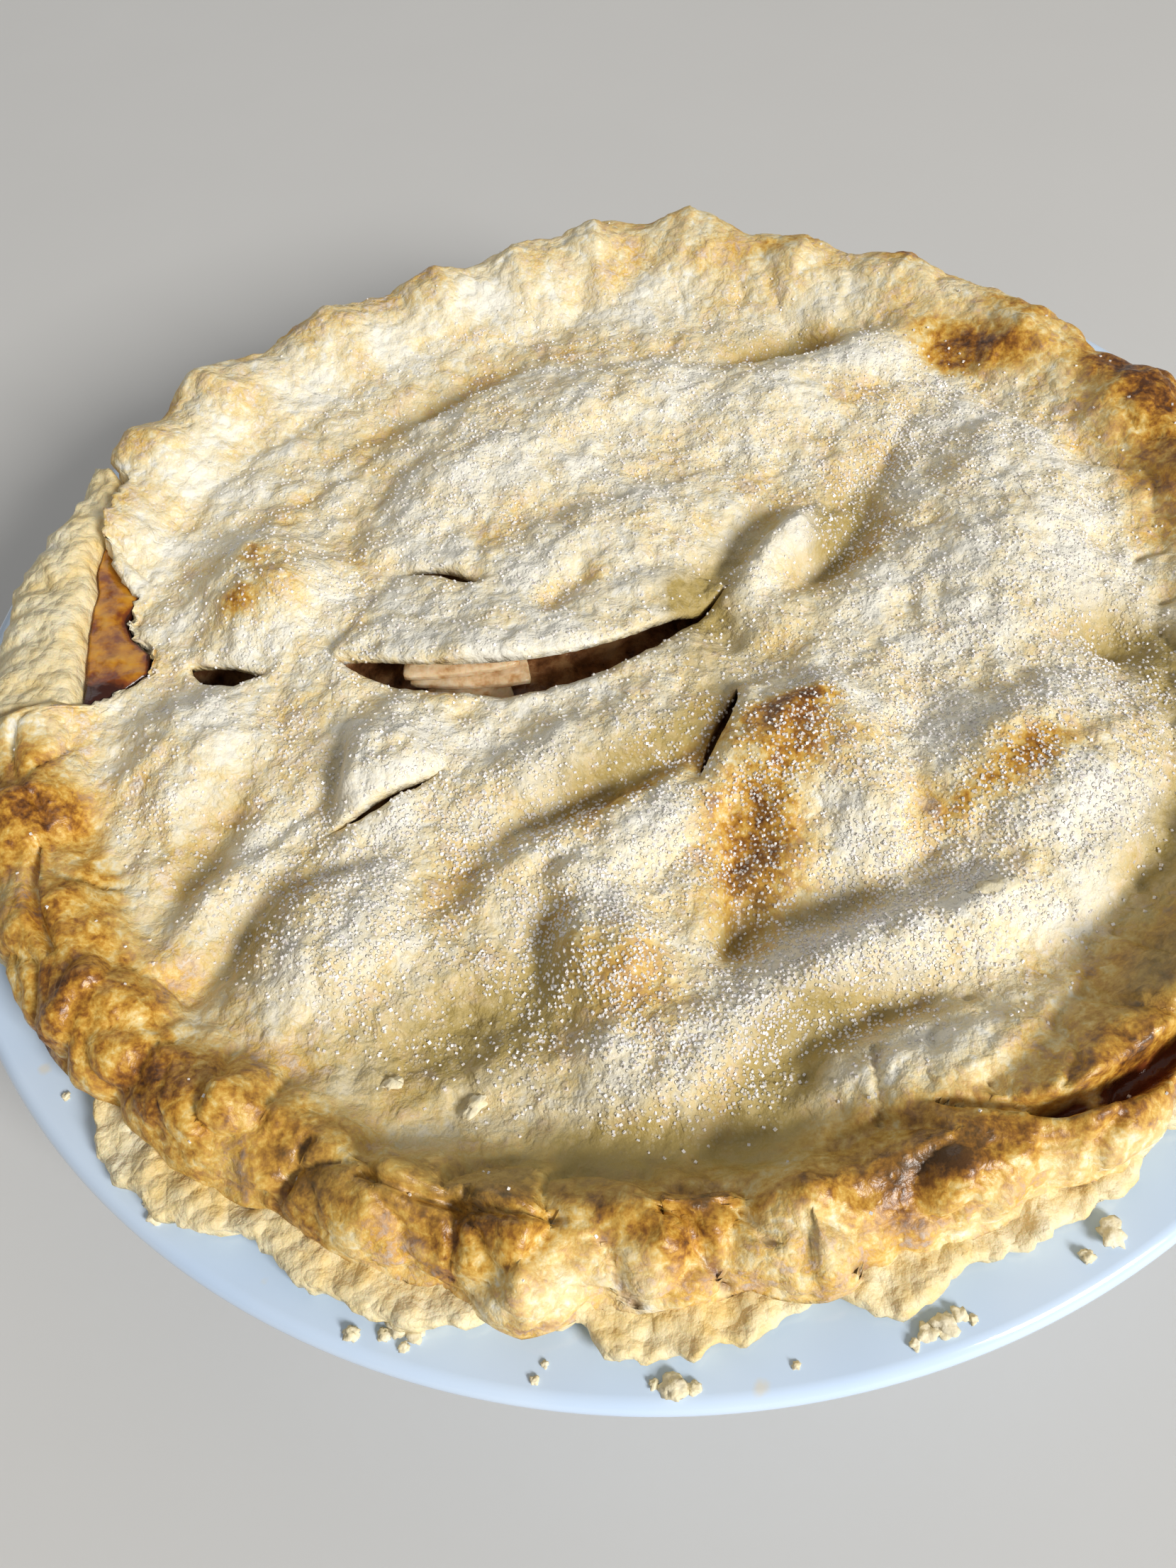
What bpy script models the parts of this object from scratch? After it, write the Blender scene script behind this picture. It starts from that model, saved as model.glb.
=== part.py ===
"""A double-crust apple pie in its white ceramic dish, in metres, +Z up, standing on the dish's foot ring."""

import math
from collections import Counter

import bmesh
import bpy
import numpy as np
from mathutils import Vector
from mathutils.geometry import delaunay_2d_cdt

# The ceramic dish.
DISH_RADIUS = 0.140
DISH_RIM_TOP = 0.0460
DISH_WALL = 0.0050
DISH_FLOOR_TOP = 0.0070
DISH_FLOOR_RADIUS = 0.086
DISH_MOUTH_RADIUS = 0.1120
DISH_SHOULDER_TOP = 0.0435
FLOOR_ROUND = 0.0080
SHOULDER_ROUND = 0.0050
FOOT_OUTER_RADIUS = 0.0880
FOOT_INNER_RADIUS = 0.0800
FOOT_ROUND = 0.0010
FOOT_SPREAD = 0.0035
FOOT_HEIGHT = 0.0060
FOOT_RECESS = 0.0015
SCREW_MERGE = 0.00001

# What lies between touching pieces, and how far lining and filling step in and up from what holds them.
GAP = 0.00035
CLEAR_INWARD = 0.0004
CLEAR_UPWARD = 0.0005
SHELL_INWARD = 0.0034
SHELL_UPWARD = 0.0030
HUB_RADIUS = 0.040

# The lining's flat rim on the dish, and the ragged edge's rounding.
FLANGE_TOP = 0.0490
FLANGE_LEAN = 0.0015
EDGE_ROUND = 0.0010
EDGE_BELLY = 0.0012

# The lid: a shallow dome, a valley round it, and a raised rim that falls to a foot on the lining.
RIM_SEGMENTS = 120
LID_THICKNESS = 0.0035
LID_EDGE_TOP = 0.0530
LID_RISE = 0.0035
LID_DOME_RADIUS = 0.100
LID_RINGS = 18
RING_SPACING_SHARE = 0.55
PLAN_MERGE = 0.00001
VALLEY_RADIUS = 0.0985
VALLEY_SHIFT_X = -0.0040
VALLEY_SHIFT_Y = -0.0060
CREST_TOP = 0.0618
CREST_INSET = 0.0085
CREST_HEIGHT_WAVE = 0.0026
CREST_HEIGHT_MIDDLE = 0.6
INNER_SLOPE_SHARES = (0.3, 0.55, 0.8, 1.0)
INNER_SLOPE_START = 0.08
WALL_BENDS = (30, 58, 82)
WALL_FULLNESS = 0.8
WALL_FLARE = 0.0060
FOOT_TUCK = 0.0006
LEDGE_RADIUS = 0.1085
PINCH_DEPTH = 0.0060
PINCH_AT_CREST = 0.4

# The filling: clear of the lid by the steam gap, sunk along the long vent and more so under the left one.
STEAM_GAP = 0.0034
FILLING_EDGE = 0.1050
FILLING_EDGE_DROP = 0.0015
FILLING_RINGS = (0.098, 0.086, 0.073, 0.060, 0.047, 0.034)
FILLING_INNER_RINGS = (0.022, 0.010)
POCKET_REACH = 0.011
LONG_POCKET_DEPTH = 0.0040
LEFT_POCKET_DEPTH = 0.0080

# Each knuckle of the pinched rim: its direction in degrees, and the crest's outer radius there.
KNUCKLES = (
    (11, 0.1245), (24, 0.1270), (38, 0.1225), (55, 0.1275), (67, 0.1240), (81, 0.1305), (92, 0.1265),
    (102, 0.1240), (112, 0.1215), (125, 0.1260), (142, 0.1275), (152, 0.1265), (164, 0.1255), (175, 0.1265),
    (187, 0.1250), (199, 0.1260), (211, 0.1265), (220, 0.1270), (235, 0.1240), (249, 0.1235), (260, 0.1275),
    (269, 0.1225), (279, 0.1240), (290, 0.1220), (301, 0.1245), (313, 0.1230), (326, 0.1255), (338, 0.1235),
    (350, 0.1250),
)

# The trimmed edge of the lining crust, which shows below the lid's rim: direction in degrees, radius.
LINING_EDGE = (
    (0, 0.1290), (14, 0.1315), (30, 0.1280), (47, 0.1320),
    (63, 0.1290), (80, 0.1330), (97, 0.1295), (115, 0.1285),
    (130, 0.1325), (148, 0.1305), (170, 0.1320), (192, 0.1300), (207, 0.1330), (218, 0.1310), (224, 0.1290),
    (228, 0.1360), (237, 0.1355), (241, 0.1300), (246, 0.1345), (253, 0.1340), (261, 0.1285), (267, 0.1335),
    (273, 0.1330), (279, 0.1270), (283, 0.1330), (289, 0.1300), (297, 0.1320), (303, 0.1285), (315, 0.1315),
    (330, 0.1290), (345, 0.1320),
)

# Bulges that the apple slices push up in the lid, and hollows between them (a rise below 0): centre,
# half sizes along and across, turn in degrees, rise.
BULGES = (
    (-0.0750, 0.0120, 0.0125, 0.0150, 0, 0.0055), (-0.0560, 0.0360, 0.0220, 0.0065, 60, -0.0020),
    (-0.0300, 0.0480, 0.0260, 0.0180, 30, 0.0038), (0.0040, 0.0640, 0.0200, 0.0120, 15, 0.0034),
    (0.0340, 0.0600, 0.0180, 0.0120, 40, 0.0030), (0.0500, 0.0800, 0.0150, 0.0065, 15, 0.0034),
    (0.0480, 0.0910, 0.0140, 0.0050, 12, -0.0018), (0.0340, 0.0150, 0.0160, 0.0048, 40, 0.0040),
    (0.0250, 0.0210, 0.0160, 0.0045, 52, -0.0024), (0.0490, 0.0260, 0.0240, 0.0052, 56, -0.0030),
    (0.0750, 0.0140, 0.0320, 0.0170, 78, 0.0056), (-0.0040, 0.0200, 0.0200, 0.0110, 20, 0.0022),
    (-0.0150, 0.0030, 0.0090, 0.0040, 45, -0.0012), (0.0260, -0.0330, 0.0180, 0.0110, 40, 0.0052),
    (0.0140, -0.0600, 0.0180, 0.0052, 85, -0.0032), (-0.0080, -0.0440, 0.0180, 0.0070, 25, 0.0038),
    (-0.0120, -0.0550, 0.0180, 0.0050, 25, -0.0016), (0.0700, -0.0460, 0.0220, 0.0180, 20, 0.0062),
    (0.0340, -0.0650, 0.0200, 0.0050, 30, -0.0026), (0.0400, -0.0760, 0.0260, 0.0068, 20, 0.0044),
    (0.0280, -0.0890, 0.0180, 0.0050, 22, -0.0026), (-0.0090, -0.0700, 0.0095, 0.0130, 10, 0.0050),
    (-0.0230, -0.0690, 0.0130, 0.0050, 75, -0.0022), (0.0020, -0.0920, 0.0160, 0.0080, 15, 0.0030),
    (0.0460, -0.0940, 0.0220, 0.0070, 22, 0.0040), (-0.0480, -0.0680, 0.0150, 0.0110, 55, 0.0048),
    (-0.0660, -0.0640, 0.0140, 0.0052, 58, -0.0034), (-0.0300, -0.0840, 0.0140, 0.0070, 30, 0.0026),
    (-0.0850, -0.0270, 0.0140, 0.0110, 55, 0.0044), (-0.0840, -0.0460, 0.0120, 0.0052, 40, -0.0022),
    (-0.0780, -0.0600, 0.0100, 0.0060, 50, 0.0022), (-0.0520, -0.0300, 0.0110, 0.0095, 30, 0.0030),
    (0.0900, -0.0140, 0.0065, 0.0055, 0, -0.0022),
)

# Vents cut in the lid: Bezier points, half width, lift of the side left of its run, and reach of the lift.
LONG_VENT = (
    ((-0.060, -0.0075), (-0.046, -0.018), (-0.012, -0.029), (0.0185, 0.0045)),
    0.0029, 0.0056, 0.022,
)
FLAP_CUT = (
    ((-0.058, -0.0475), (-0.051, -0.046), (-0.044, -0.042), (-0.036, -0.0365)),
    0.0006, 0.0026, 0.014,
)
LEFT_VENT = (
    ((-0.090, -0.0045), (-0.085, -0.0085), (-0.079, -0.0105), (-0.0735, -0.0095)),
    0.0023, 0.0008, 0.010,
)
SMALL_VENT = (
    ((-0.0475, 0.0142), (-0.042, 0.0136), (-0.036, 0.0112), (-0.031, 0.0082)),
    0.0010, -0.0008, 0.008,
)
MIDDLE_VENT = (
    ((0.0175, -0.022), (0.0165, -0.028), (0.0120, -0.034), (0.0090, -0.042)),
    0.0013, 0.0022, 0.012,
)
VENTS = {
    "long_vent": LONG_VENT,
    "flap_cut": FLAP_CUT,
    "left_vent": LEFT_VENT,
    "small_vent": SMALL_VENT,
    "middle_vent": MIDDLE_VENT,
}
VENT_SAMPLES = 48
VENT_SPACING = 0.0042
VENT_FEWEST_STEPS = 5
VENT_MARGINS = (0.0028, 0.0070)
VENT_MARGIN_SPACING = 0.0020
VENT_TAPER = 0.7
VENT_POINT = 0.002
LIFT_TAPER = 0.6
LIP_ROUND = 0.0008
LIP_REACH = 0.0018

# Cracks where the lid has drawn away from its rim: Bezier points, half width, height of the crack's floor.
FRONT_CRACK = (
    ((0.042, -0.1070), (0.055, -0.1065), (0.070, -0.1015), (0.0885, -0.0865)),
    0.0021, 0.0505,
)
LOW_CRACK = (
    ((-0.0450, -0.1090), (-0.0360, -0.1130), (-0.0270, -0.1155), (-0.0165, -0.1165)),
    0.0007, 0.0535,
)
LEFT_CRACK = (
    ((-0.1050, -0.0500), (-0.1035, -0.0600), (-0.1010, -0.0690), (-0.0975, -0.0765)),
    0.0009, 0.0540,
)
CRACKS = {"front_crack": FRONT_CRACK, "low_crack": LOW_CRACK, "left_crack": LEFT_CRACK}
CRACK_STEPS = 8
CUTTER_TOP = 0.072

# The tear at the left, where the lid's rim has come away and the lining's own rim shows behind syrup:
# direction in degrees, radius of the lid's torn edge, and inner radius of the lining's strip. Before the
# first row and after the last, the tear runs out through the lid's wall.
TEAR = (
    (156.0, 0.1240, 0.1255), (158.0, 0.1185, 0.1200), (162.0, 0.1165, 0.1177), (166.0, 0.1150, 0.1170),
    (169.0, 0.1095, 0.1160), (172.0, 0.1045, 0.1135), (175.5, 0.1055, 0.1125), (178.0, 0.1030, 0.1120),
    (180.5, 0.0985, 0.1110), (183.5, 0.0980, 0.1105), (186.0, 0.1040, 0.1100), (188.5, 0.1085, 0.1100),
)
TEAR_START = (154.8, 0.1285)
TEAR_END = (190.1, 0.1250)
TEAR_OUTER_RADIUS = 0.150
TEAR_FLOOR = 0.040
STRIP_STEPS = 22
STRIP_TOP = 0.0580
STRIP_OUTER_RADIUS = 0.1300
STRIP_END_GAP = 0.5
STRIP_HEIGHT_WAVE = 0.0014
STRIP_RADIUS_WAVE = 0.0022
# Across the strip: share of its width, and drop from its top.
STRIP_SECTION = ((0.0, 0.0020), (0.11, 0.0002), (0.70, 0.0012), (0.93, 0.0045))
STRIP_ROOT = 0.0010
SYRUP_STEPS = 16
SYRUP_TOP = 0.0548
SYRUP_MIDDLE_DROP = 0.0010
SYRUP_EDGE_DROP = 0.0022
SYRUP_LEAST_WIDTH = 0.0015

# Apple slices that show in the long vent: centre, half length, half width, thickness, turn and tilt.
APPLE_SLICES = {
    "apple_slice_upper": ((-0.0350, -0.0055, 0.0537), 0.0115, 0.0065, 0.0022, 4, 3),
    "apple_slice_middle": ((-0.0330, -0.0065, 0.0511), 0.0120, 0.0065, 0.0022, -3, 3),
    "apple_slice_lower": ((-0.0335, -0.0120, 0.0482), 0.0095, 0.0050, 0.0026, -8, 3),
}
SLICE_ARC_STEPS = 10
SLICE_BED_GAP = 0.0005
# Up a slice's bevelled edge: share of its thickness from its middle, and share of its outline.
SLICE_SECTION = ((-0.5, 0.88), (-0.28, 1.0), (0.28, 1.0), (0.5, 0.88))
SLICE_CORE_POINTS = (-0.5, 0.0, 0.5)
SLICE_CORE_DIP = 0.12
SHARP_ANGLE = 50

WHITE_GLAZE = ("white_glaze", (0.83, 0.85, 0.89), 0.12)
LID_PASTRY = ("lid_pastry", (0.80, 0.67, 0.46), 0.60)
LINING_PASTRY = ("lining_pastry", (0.78, 0.55, 0.27), 0.60)
CINNAMON_FILLING = ("cinnamon_filling", (0.26, 0.11, 0.04), 0.35)
APPLE_FLESH = ("apple_flesh", (0.80, 0.62, 0.38), 0.35)
DARK_SYRUP = ("dark_syrup", (0.42, 0.15, 0.02), 0.15)


def clear_scene():
    for obj in list(bpy.data.objects):
        bpy.data.objects.remove(obj, do_unlink=True)


def new_collection(name):
    collection = bpy.data.collections.new(name)
    bpy.context.scene.collection.children.link(collection)
    return collection


def material(finish):
    name, colour, roughness = finish
    made = bpy.data.materials.get(name) or bpy.data.materials.new(name)
    made.use_nodes = True
    shader = made.node_tree.nodes["Principled BSDF"]
    shader.inputs["Base Color"].default_value = (*colour, 1)
    shader.inputs["Roughness"].default_value = roughness
    shader.inputs["Metallic"].default_value = 0
    return made


def smoothstep(low, high, value):
    t = np.clip((value - low) / (high - low), 0, 1)
    return t * t * (3 - 2 * t)


def arc(centre, radius, start, end, steps):
    """Points (radius, height) on an arc, from start to end in degrees, both ends included."""
    turns = np.radians(np.linspace(start, end, steps + 1))
    return [(centre[0] + radius * math.cos(a), centre[1] + radius * math.sin(a)) for a in turns]


def bezier(points, steps):
    """Points on a cubic Bezier curve, with the unit vector to the left of the way it runs at each."""
    t = np.linspace(0, 1, steps + 1)[:, None]
    p = [np.array(point) for point in points]
    spot = (1 - t) ** 3 * p[0] + 3 * (1 - t) ** 2 * t * p[1] + 3 * (1 - t) * t**2 * p[2] + t**3 * p[3]
    way = (1 - t) ** 2 * (p[1] - p[0]) + 2 * (1 - t) * t * (p[2] - p[1]) + t**2 * (p[3] - p[2])
    way = way / np.linalg.norm(way, axis=1, keepdims=True)
    return spot, np.stack([-way[:, 1], way[:, 0]], axis=1)


def stitch(bm, a, b):
    """Faces between two rings of vertices. A ring may be one point, or have twice the other's points."""
    n, m = len(a), len(b)
    for i in range(max(n, m)):
        if n == m:
            bm.faces.new((a[i], a[(i + 1) % n], b[(i + 1) % n], b[i]))
        elif m == 1:
            bm.faces.new((a[i], a[(i + 1) % n], b[0]))
        elif n == 1:
            bm.faces.new((a[0], b[(i + 1) % m], b[i]))
        elif n == 2 * m and i % 2 == 0:
            low, high = b[i // 2], b[(i // 2 + 1) % m]
            bm.faces.new((a[i], a[i + 1], low))
            bm.faces.new((a[i + 1], high, low))
            bm.faces.new((a[i + 1], a[(i + 2) % n], high))
        elif m == 2 * n and i % 2 == 0:
            low, high = a[i // 2], a[(i // 2 + 1) % n]
            bm.faces.new((low, b[i + 1], b[i]))
            bm.faces.new((low, high, b[i + 1]))
            bm.faces.new((high, b[(i + 2) % m], b[i + 1]))


def loft(name, rings, collection, finish=None):
    """A closed skin over rings of points. An end ring of more than one point is capped."""
    bm = bmesh.new()
    rows = [[bm.verts.new(point) for point in ring] for ring in rings]
    for a, b in zip(rows, rows[1:]):
        stitch(bm, a, b)
    for end in (rows[0], rows[-1]):
        if len(end) > 1:
            bm.faces.new(end)
    return finished(name, bm, collection, finish)


def finished(name, bm, collection, finish):
    """The object made from a closed bmesh, smooth but for its sharp edges. One with no finish is a helper."""
    bmesh.ops.triangulate(bm, faces=bm.faces[:], quad_method="FIXED")
    bmesh.ops.recalc_face_normals(bm, faces=bm.faces[:])
    mesh = bpy.data.meshes.new(name)
    bm.to_mesh(mesh)
    bm.free()
    mesh.shade_smooth()
    mesh.set_sharp_from_angle(angle=math.radians(SHARP_ANGLE))
    obj = bpy.data.objects.new(name, mesh)
    collection.objects.link(obj)
    if finish:
        mesh.materials.append(material(finish))
    else:
        obj.hide_render = True
        obj.display_type = "WIRE"
    return obj


def blade(name, left, right, floor, collection):
    """A cutter between two lines of (x, y) points, from the height floor up."""
    rings = [
        [(*a, floor), (*a, CUTTER_TOP), (*b, CUTTER_TOP), (*b, floor)]
        for a, b in zip(left.tolist(), right.tolist())
    ]
    return loft(name, rings, collection)


def boolean(obj, other, operation):
    modifier = obj.modifiers.new(f"{operation.title()} {other.name}", "BOOLEAN")
    modifier.operation = operation
    modifier.solver = "EXACT"
    modifier.object = other


def around(degrees, table):
    """The second column's value in that direction, on straight lines between a table's rows round the pie."""
    rows = [(table[-1][0] - 360, table[-1][1]), *table, (table[0][0] + 360, table[0][1])]
    return np.interp(degrees, *zip(*rows))


def pinch(degrees):
    """1 on a knuckle of the rim, falling to 0 in the sharp groove between two knuckles."""
    centres = [knuckle[0] for knuckle in KNUCKLES]
    centres = [centres[-1] - 360, *centres, centres[0] + 360]
    return np.abs(np.cos(np.pi * np.interp(degrees, centres, range(len(centres)))))


def slit_sides(points, half_width, steps):
    """The middle, the left side and the right side of a slit that tapers to both ends."""
    spots, lefts = bezier(points, steps)
    width = slit_width(np.linspace(0, 1, steps + 1), half_width)[:, None]
    return spots, spots + lefts * width, spots - lefts * width


def slit_width(share, half_width):
    """Half the width of a slit, at a share of its length."""
    return half_width * np.sin(np.pi * np.clip(share, VENT_POINT, 1 - VENT_POINT)) ** VENT_TAPER


def nearest(x, y, points):
    """The share of a Bezier curve's length nearest each place, the distance, and how far left of it that is."""
    spots, lefts = bezier(points, VENT_SAMPLES)
    away = np.stack([x, y], axis=-1)[..., None, :] - spots
    near = np.argmin((away**2).sum(-1), axis=-1)
    offset = np.take_along_axis(away, near[..., None, None], axis=-2)[..., 0, :]
    return near / VENT_SAMPLES, np.linalg.norm(offset, axis=-1), (offset * lefts[near]).sum(-1)


def vent_relief(x, y, vent):
    """How far a vent lifts the lid on one side, and how far its lips are rounded down."""
    points, half_width, lift, reach = vent
    share, distance, side = nearest(x, y, points)
    width = slit_width(share, half_width)
    raised = smoothstep(-width, width, side) * np.exp(-((distance / reach) ** 2))
    lip = smoothstep(LIP_REACH, 0, distance - width) * min(LIP_ROUND, half_width)
    return lift * np.sin(np.pi * share) ** LIFT_TAPER * raised, lip


def bulges(x, y):
    height = np.zeros_like(x)
    for cx, cy, along, across, turn, rise in BULGES:
        c, s = math.cos(math.radians(turn)), math.sin(math.radians(turn))
        u = ((x - cx) * c + (y - cy) * s) / along
        v = ((y - cy) * c - (x - cx) * s) / across
        height += rise * np.exp(-(u**2 + v**2))
    return height


def dome(x, y):
    """The lid's height without its vents: a shallow dome with the bulges of the fruit."""
    share = np.clip(np.hypot(x, y) / LID_DOME_RADIUS, 0, 1)
    return LID_EDGE_TOP + LID_RISE * (1 - share**2) + bulges(x, y)


def lid_top(x, y):
    height = dome(x, y)
    for vent in VENTS.values():
        raised, lip = vent_relief(x, y, vent)
        height = height + raised - lip
    return height


def lid_underside(x, y):
    height = dome(x, y) - LID_THICKNESS
    for vent in VENTS.values():
        height = height + vent_relief(x, y, vent)[0]
    return height


def filling_top(x, y):
    height = dome(x, y) - LID_THICKNESS - STEAM_GAP
    for vent, depth in ((LONG_VENT, LONG_POCKET_DEPTH), (LEFT_VENT, LEFT_POCKET_DEPTH)):
        distance = nearest(x, y, vent[0])[1]
        height = height - depth * np.exp(-((distance / POCKET_REACH) ** 2))
    return height


def directions(count):
    return np.arange(count) * 360 / count


def polar(degrees, radius):
    turn = np.radians(degrees)
    return np.stack([radius * np.cos(turn), radius * np.sin(turn)], axis=-1)


def ring(radius, degrees, height):
    """Points round the pie, at a radius and a height for each direction, or a height that follows x and y."""
    x, y = polar(degrees, radius).T
    z = height(x, y) if callable(height) else np.broadcast_to(height, x.shape)
    return list(zip(x.tolist(), y.tolist(), z.tolist()))


def centre_point(height):
    return ring(0, directions(1), height)


def valley_radius(degrees):
    turn = np.radians(degrees)
    return VALLEY_RADIUS + VALLEY_SHIFT_X * np.cos(turn) + VALLEY_SHIFT_Y * np.sin(turn)


def rim_section(degrees):
    """Crest radius, crest height and foot radius of the lid's rim in each direction."""
    knuckle = pinch(degrees)
    reach = around(degrees, KNUCKLES)
    groove = PINCH_DEPTH * (1 - knuckle)
    crest = reach - CREST_INSET - PINCH_AT_CREST * groove
    height = CREST_TOP + CREST_HEIGHT_WAVE * (knuckle - CREST_HEIGHT_MIDDLE)
    return crest, height, reach + WALL_FLARE - groove


def vent_steps(points):
    length = np.linalg.norm(np.diff(bezier(points, VENT_SAMPLES)[0], axis=0), axis=1).sum()
    return max(VENT_FEWEST_STEPS, round(length / VENT_SPACING))


def vent_outline(points, half_width):
    """A vent's outline, anticlockwise: from its start down its right side, and back up its left side."""
    spots, left, right = slit_sides(points, half_width, vent_steps(points))
    return np.concatenate([spots[:1], right[1:-1], spots[-1:], left[-2:0:-1]])


def inside(spot, outline):
    (x, y), (x1, y1), (x2, y2) = spot, outline.T, np.roll(outline, -1, axis=0).T
    crossed = ((y1 > y) != (y2 > y)) & (x < (x2 - x1) * (y - y1) / (y2 - y1) + x1)
    return crossed.sum() % 2 == 1


def apart_from(placed, line, spacing):
    """The points placed so far, with those of the line that keep the spacing from them."""
    gaps = np.linalg.norm(line[:, None] - placed, axis=2).min(axis=1)
    return np.concatenate([placed, line[gaps > spacing]])


def lid_plan(outlines):
    """The lid's points inside its valley, seen from above: the vents, lines beside them, then rings."""
    placed = np.concatenate(outlines)
    for points, half_width, _, _ in VENTS.values():
        spots, lefts = bezier(points, vent_steps(points))
        for margin in VENT_MARGINS:
            for side in (-1, 1):
                line = spots[1:-1] + side * lefts[1:-1] * (half_width + margin)
                placed = apart_from(placed, line, VENT_MARGIN_SPACING)
    for step in range(1, LID_RINGS):
        degrees = directions(6 * step) + 15 * step
        line = polar(degrees, step / LID_RINGS * valley_radius(degrees))
        placed = apart_from(placed, line, RING_SPACING_SHARE * VALLEY_RADIUS / LID_RINGS)
    return placed


def rim_rings():
    """The lid's rim: up from its valley, over the crest, down to its foot and back in along its base."""
    degrees = directions(RIM_SEGMENTS)
    valley = valley_radius(degrees)
    crest, height, foot = rim_section(degrees)
    rings = []
    for share in INNER_SLOPE_SHARES:
        radius = valley + (crest - valley) * share
        slope = lid_top(*polar(degrees, radius).T)
        climb = smoothstep(0, 1, INNER_SLOPE_START + (1 - INNER_SLOPE_START) * share)
        rings.append(ring(radius, degrees, slope * (1 - climb) + height * climb))
    base = FLANGE_TOP + GAP
    for bend in np.radians(WALL_BENDS):
        radius = crest + (foot - crest) * math.sin(bend)
        rings.append(ring(radius, degrees, base + (height - base) * math.cos(bend) ** WALL_FULLNESS))
    rings.append(ring(foot - FOOT_TUCK, degrees, base))
    rings.append(ring(LEDGE_RADIUS, degrees, base))
    return rings


def plan_triangles(outlines):
    """The lid's plan cut into triangles, open at the vents, and the places in it of the valley's points."""
    degrees = directions(RIM_SEGMENTS)
    border = polar(degrees, valley_radius(degrees))
    plan = [Vector(spot) for spot in np.concatenate([border, lid_plan(outlines)]).tolist()]
    edges = []
    start = RIM_SEGMENTS
    for outline in outlines:
        count = len(outline)
        edges += [(start + i, start + (i + 1) % count) for i in range(count)]
        start += count
    spots, _, triangles, origins, _, _ = delaunay_2d_cdt(plan, edges, [], 0, PLAN_MERGE)
    spots = np.array(spots)
    middles = [spots[list(triangle)].mean(axis=0) for triangle in triangles]
    kept = [
        triangle
        for triangle, middle in zip(triangles, middles)
        if not any(inside(middle, outline) for outline in outlines)
    ]
    places = {source: place for place, sources in enumerate(origins) for source in sources}
    return spots, kept, [places[i] for i in range(RIM_SEGMENTS)]


def make_lid(model):
    """Two sheets of the same triangles, open at the vents, joined by the vents' walls and by the rim."""
    outlines = [vent_outline(points, half_width) for points, half_width, _, _ in VENTS.values()]
    spots, triangles, border = plan_triangles(outlines)
    bm = bmesh.new()
    sheets = []
    for surface in (lid_top, lid_underside):
        heights = surface(*spots.T).tolist()
        sheet = [bm.verts.new((*spot, height)) for spot, height in zip(spots.tolist(), heights)]
        for triangle in triangles:
            bm.faces.new([sheet[i] for i in triangle])
        sheets.append(sheet)
    upper, lower = sheets
    sides = Counter(frozenset(pair) for a, b, c in triangles for pair in ((a, b), (b, c), (c, a)))
    for side, count in sides.items():
        if count == 1 and not side <= set(border):
            a, b = side
            bm.faces.new((upper[a], upper[b], lower[b], lower[a]))
    rows = [[upper[i] for i in border]]
    rows += [[bm.verts.new(point) for point in points] for points in rim_rings()]
    rows.append([lower[i] for i in border])
    for a, b in zip(rows, rows[1:]):
        stitch(bm, a, b)
    bmesh.ops.delete(bm, geom=[vertex for vertex in bm.verts if not vertex.link_faces], context="VERTS")
    return finished("top_crust", bm, model, LID_PASTRY)


def make_top_crust(model, cutters):
    lid = make_lid(model)
    for name, (points, half_width, floor) in CRACKS.items():
        _, left, right = slit_sides(points, half_width, CRACK_STEPS)
        boolean(lid, blade(name, left, right, floor, cutters), "DIFFERENCE")
    rows = [TEAR_START, *TEAR, TEAR_END]
    degrees = np.array([row[0] for row in rows])
    torn = np.array([row[1] for row in rows])
    tear = blade("tear", polar(degrees, torn), polar(degrees, TEAR_OUTER_RADIUS), TEAR_FLOOR, cutters)
    boolean(lid, tear, "DIFFERENCE")


def dish_inside():
    """Radius and height of the dish's inner side, from its floor up the wall and over onto the rim."""
    floor_middle = (DISH_FLOOR_RADIUS - FLOOR_ROUND / 2, DISH_FLOOR_TOP + FLOOR_ROUND)
    shoulder_middle = (DISH_MOUTH_RADIUS + SHOULDER_ROUND, DISH_SHOULDER_TOP - SHOULDER_ROUND)
    floor_edge = (DISH_FLOOR_RADIUS - FLOOR_ROUND, DISH_FLOOR_TOP)
    floor_turn = arc(floor_middle, FLOOR_ROUND, 285, 330, 2)
    return [floor_edge, *floor_turn, *arc(shoulder_middle, SHOULDER_ROUND, 160, 95, 2)]


def shifted(profile, inward, upward):
    return [(radius - inward, height + upward) for radius, height in profile]


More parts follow.
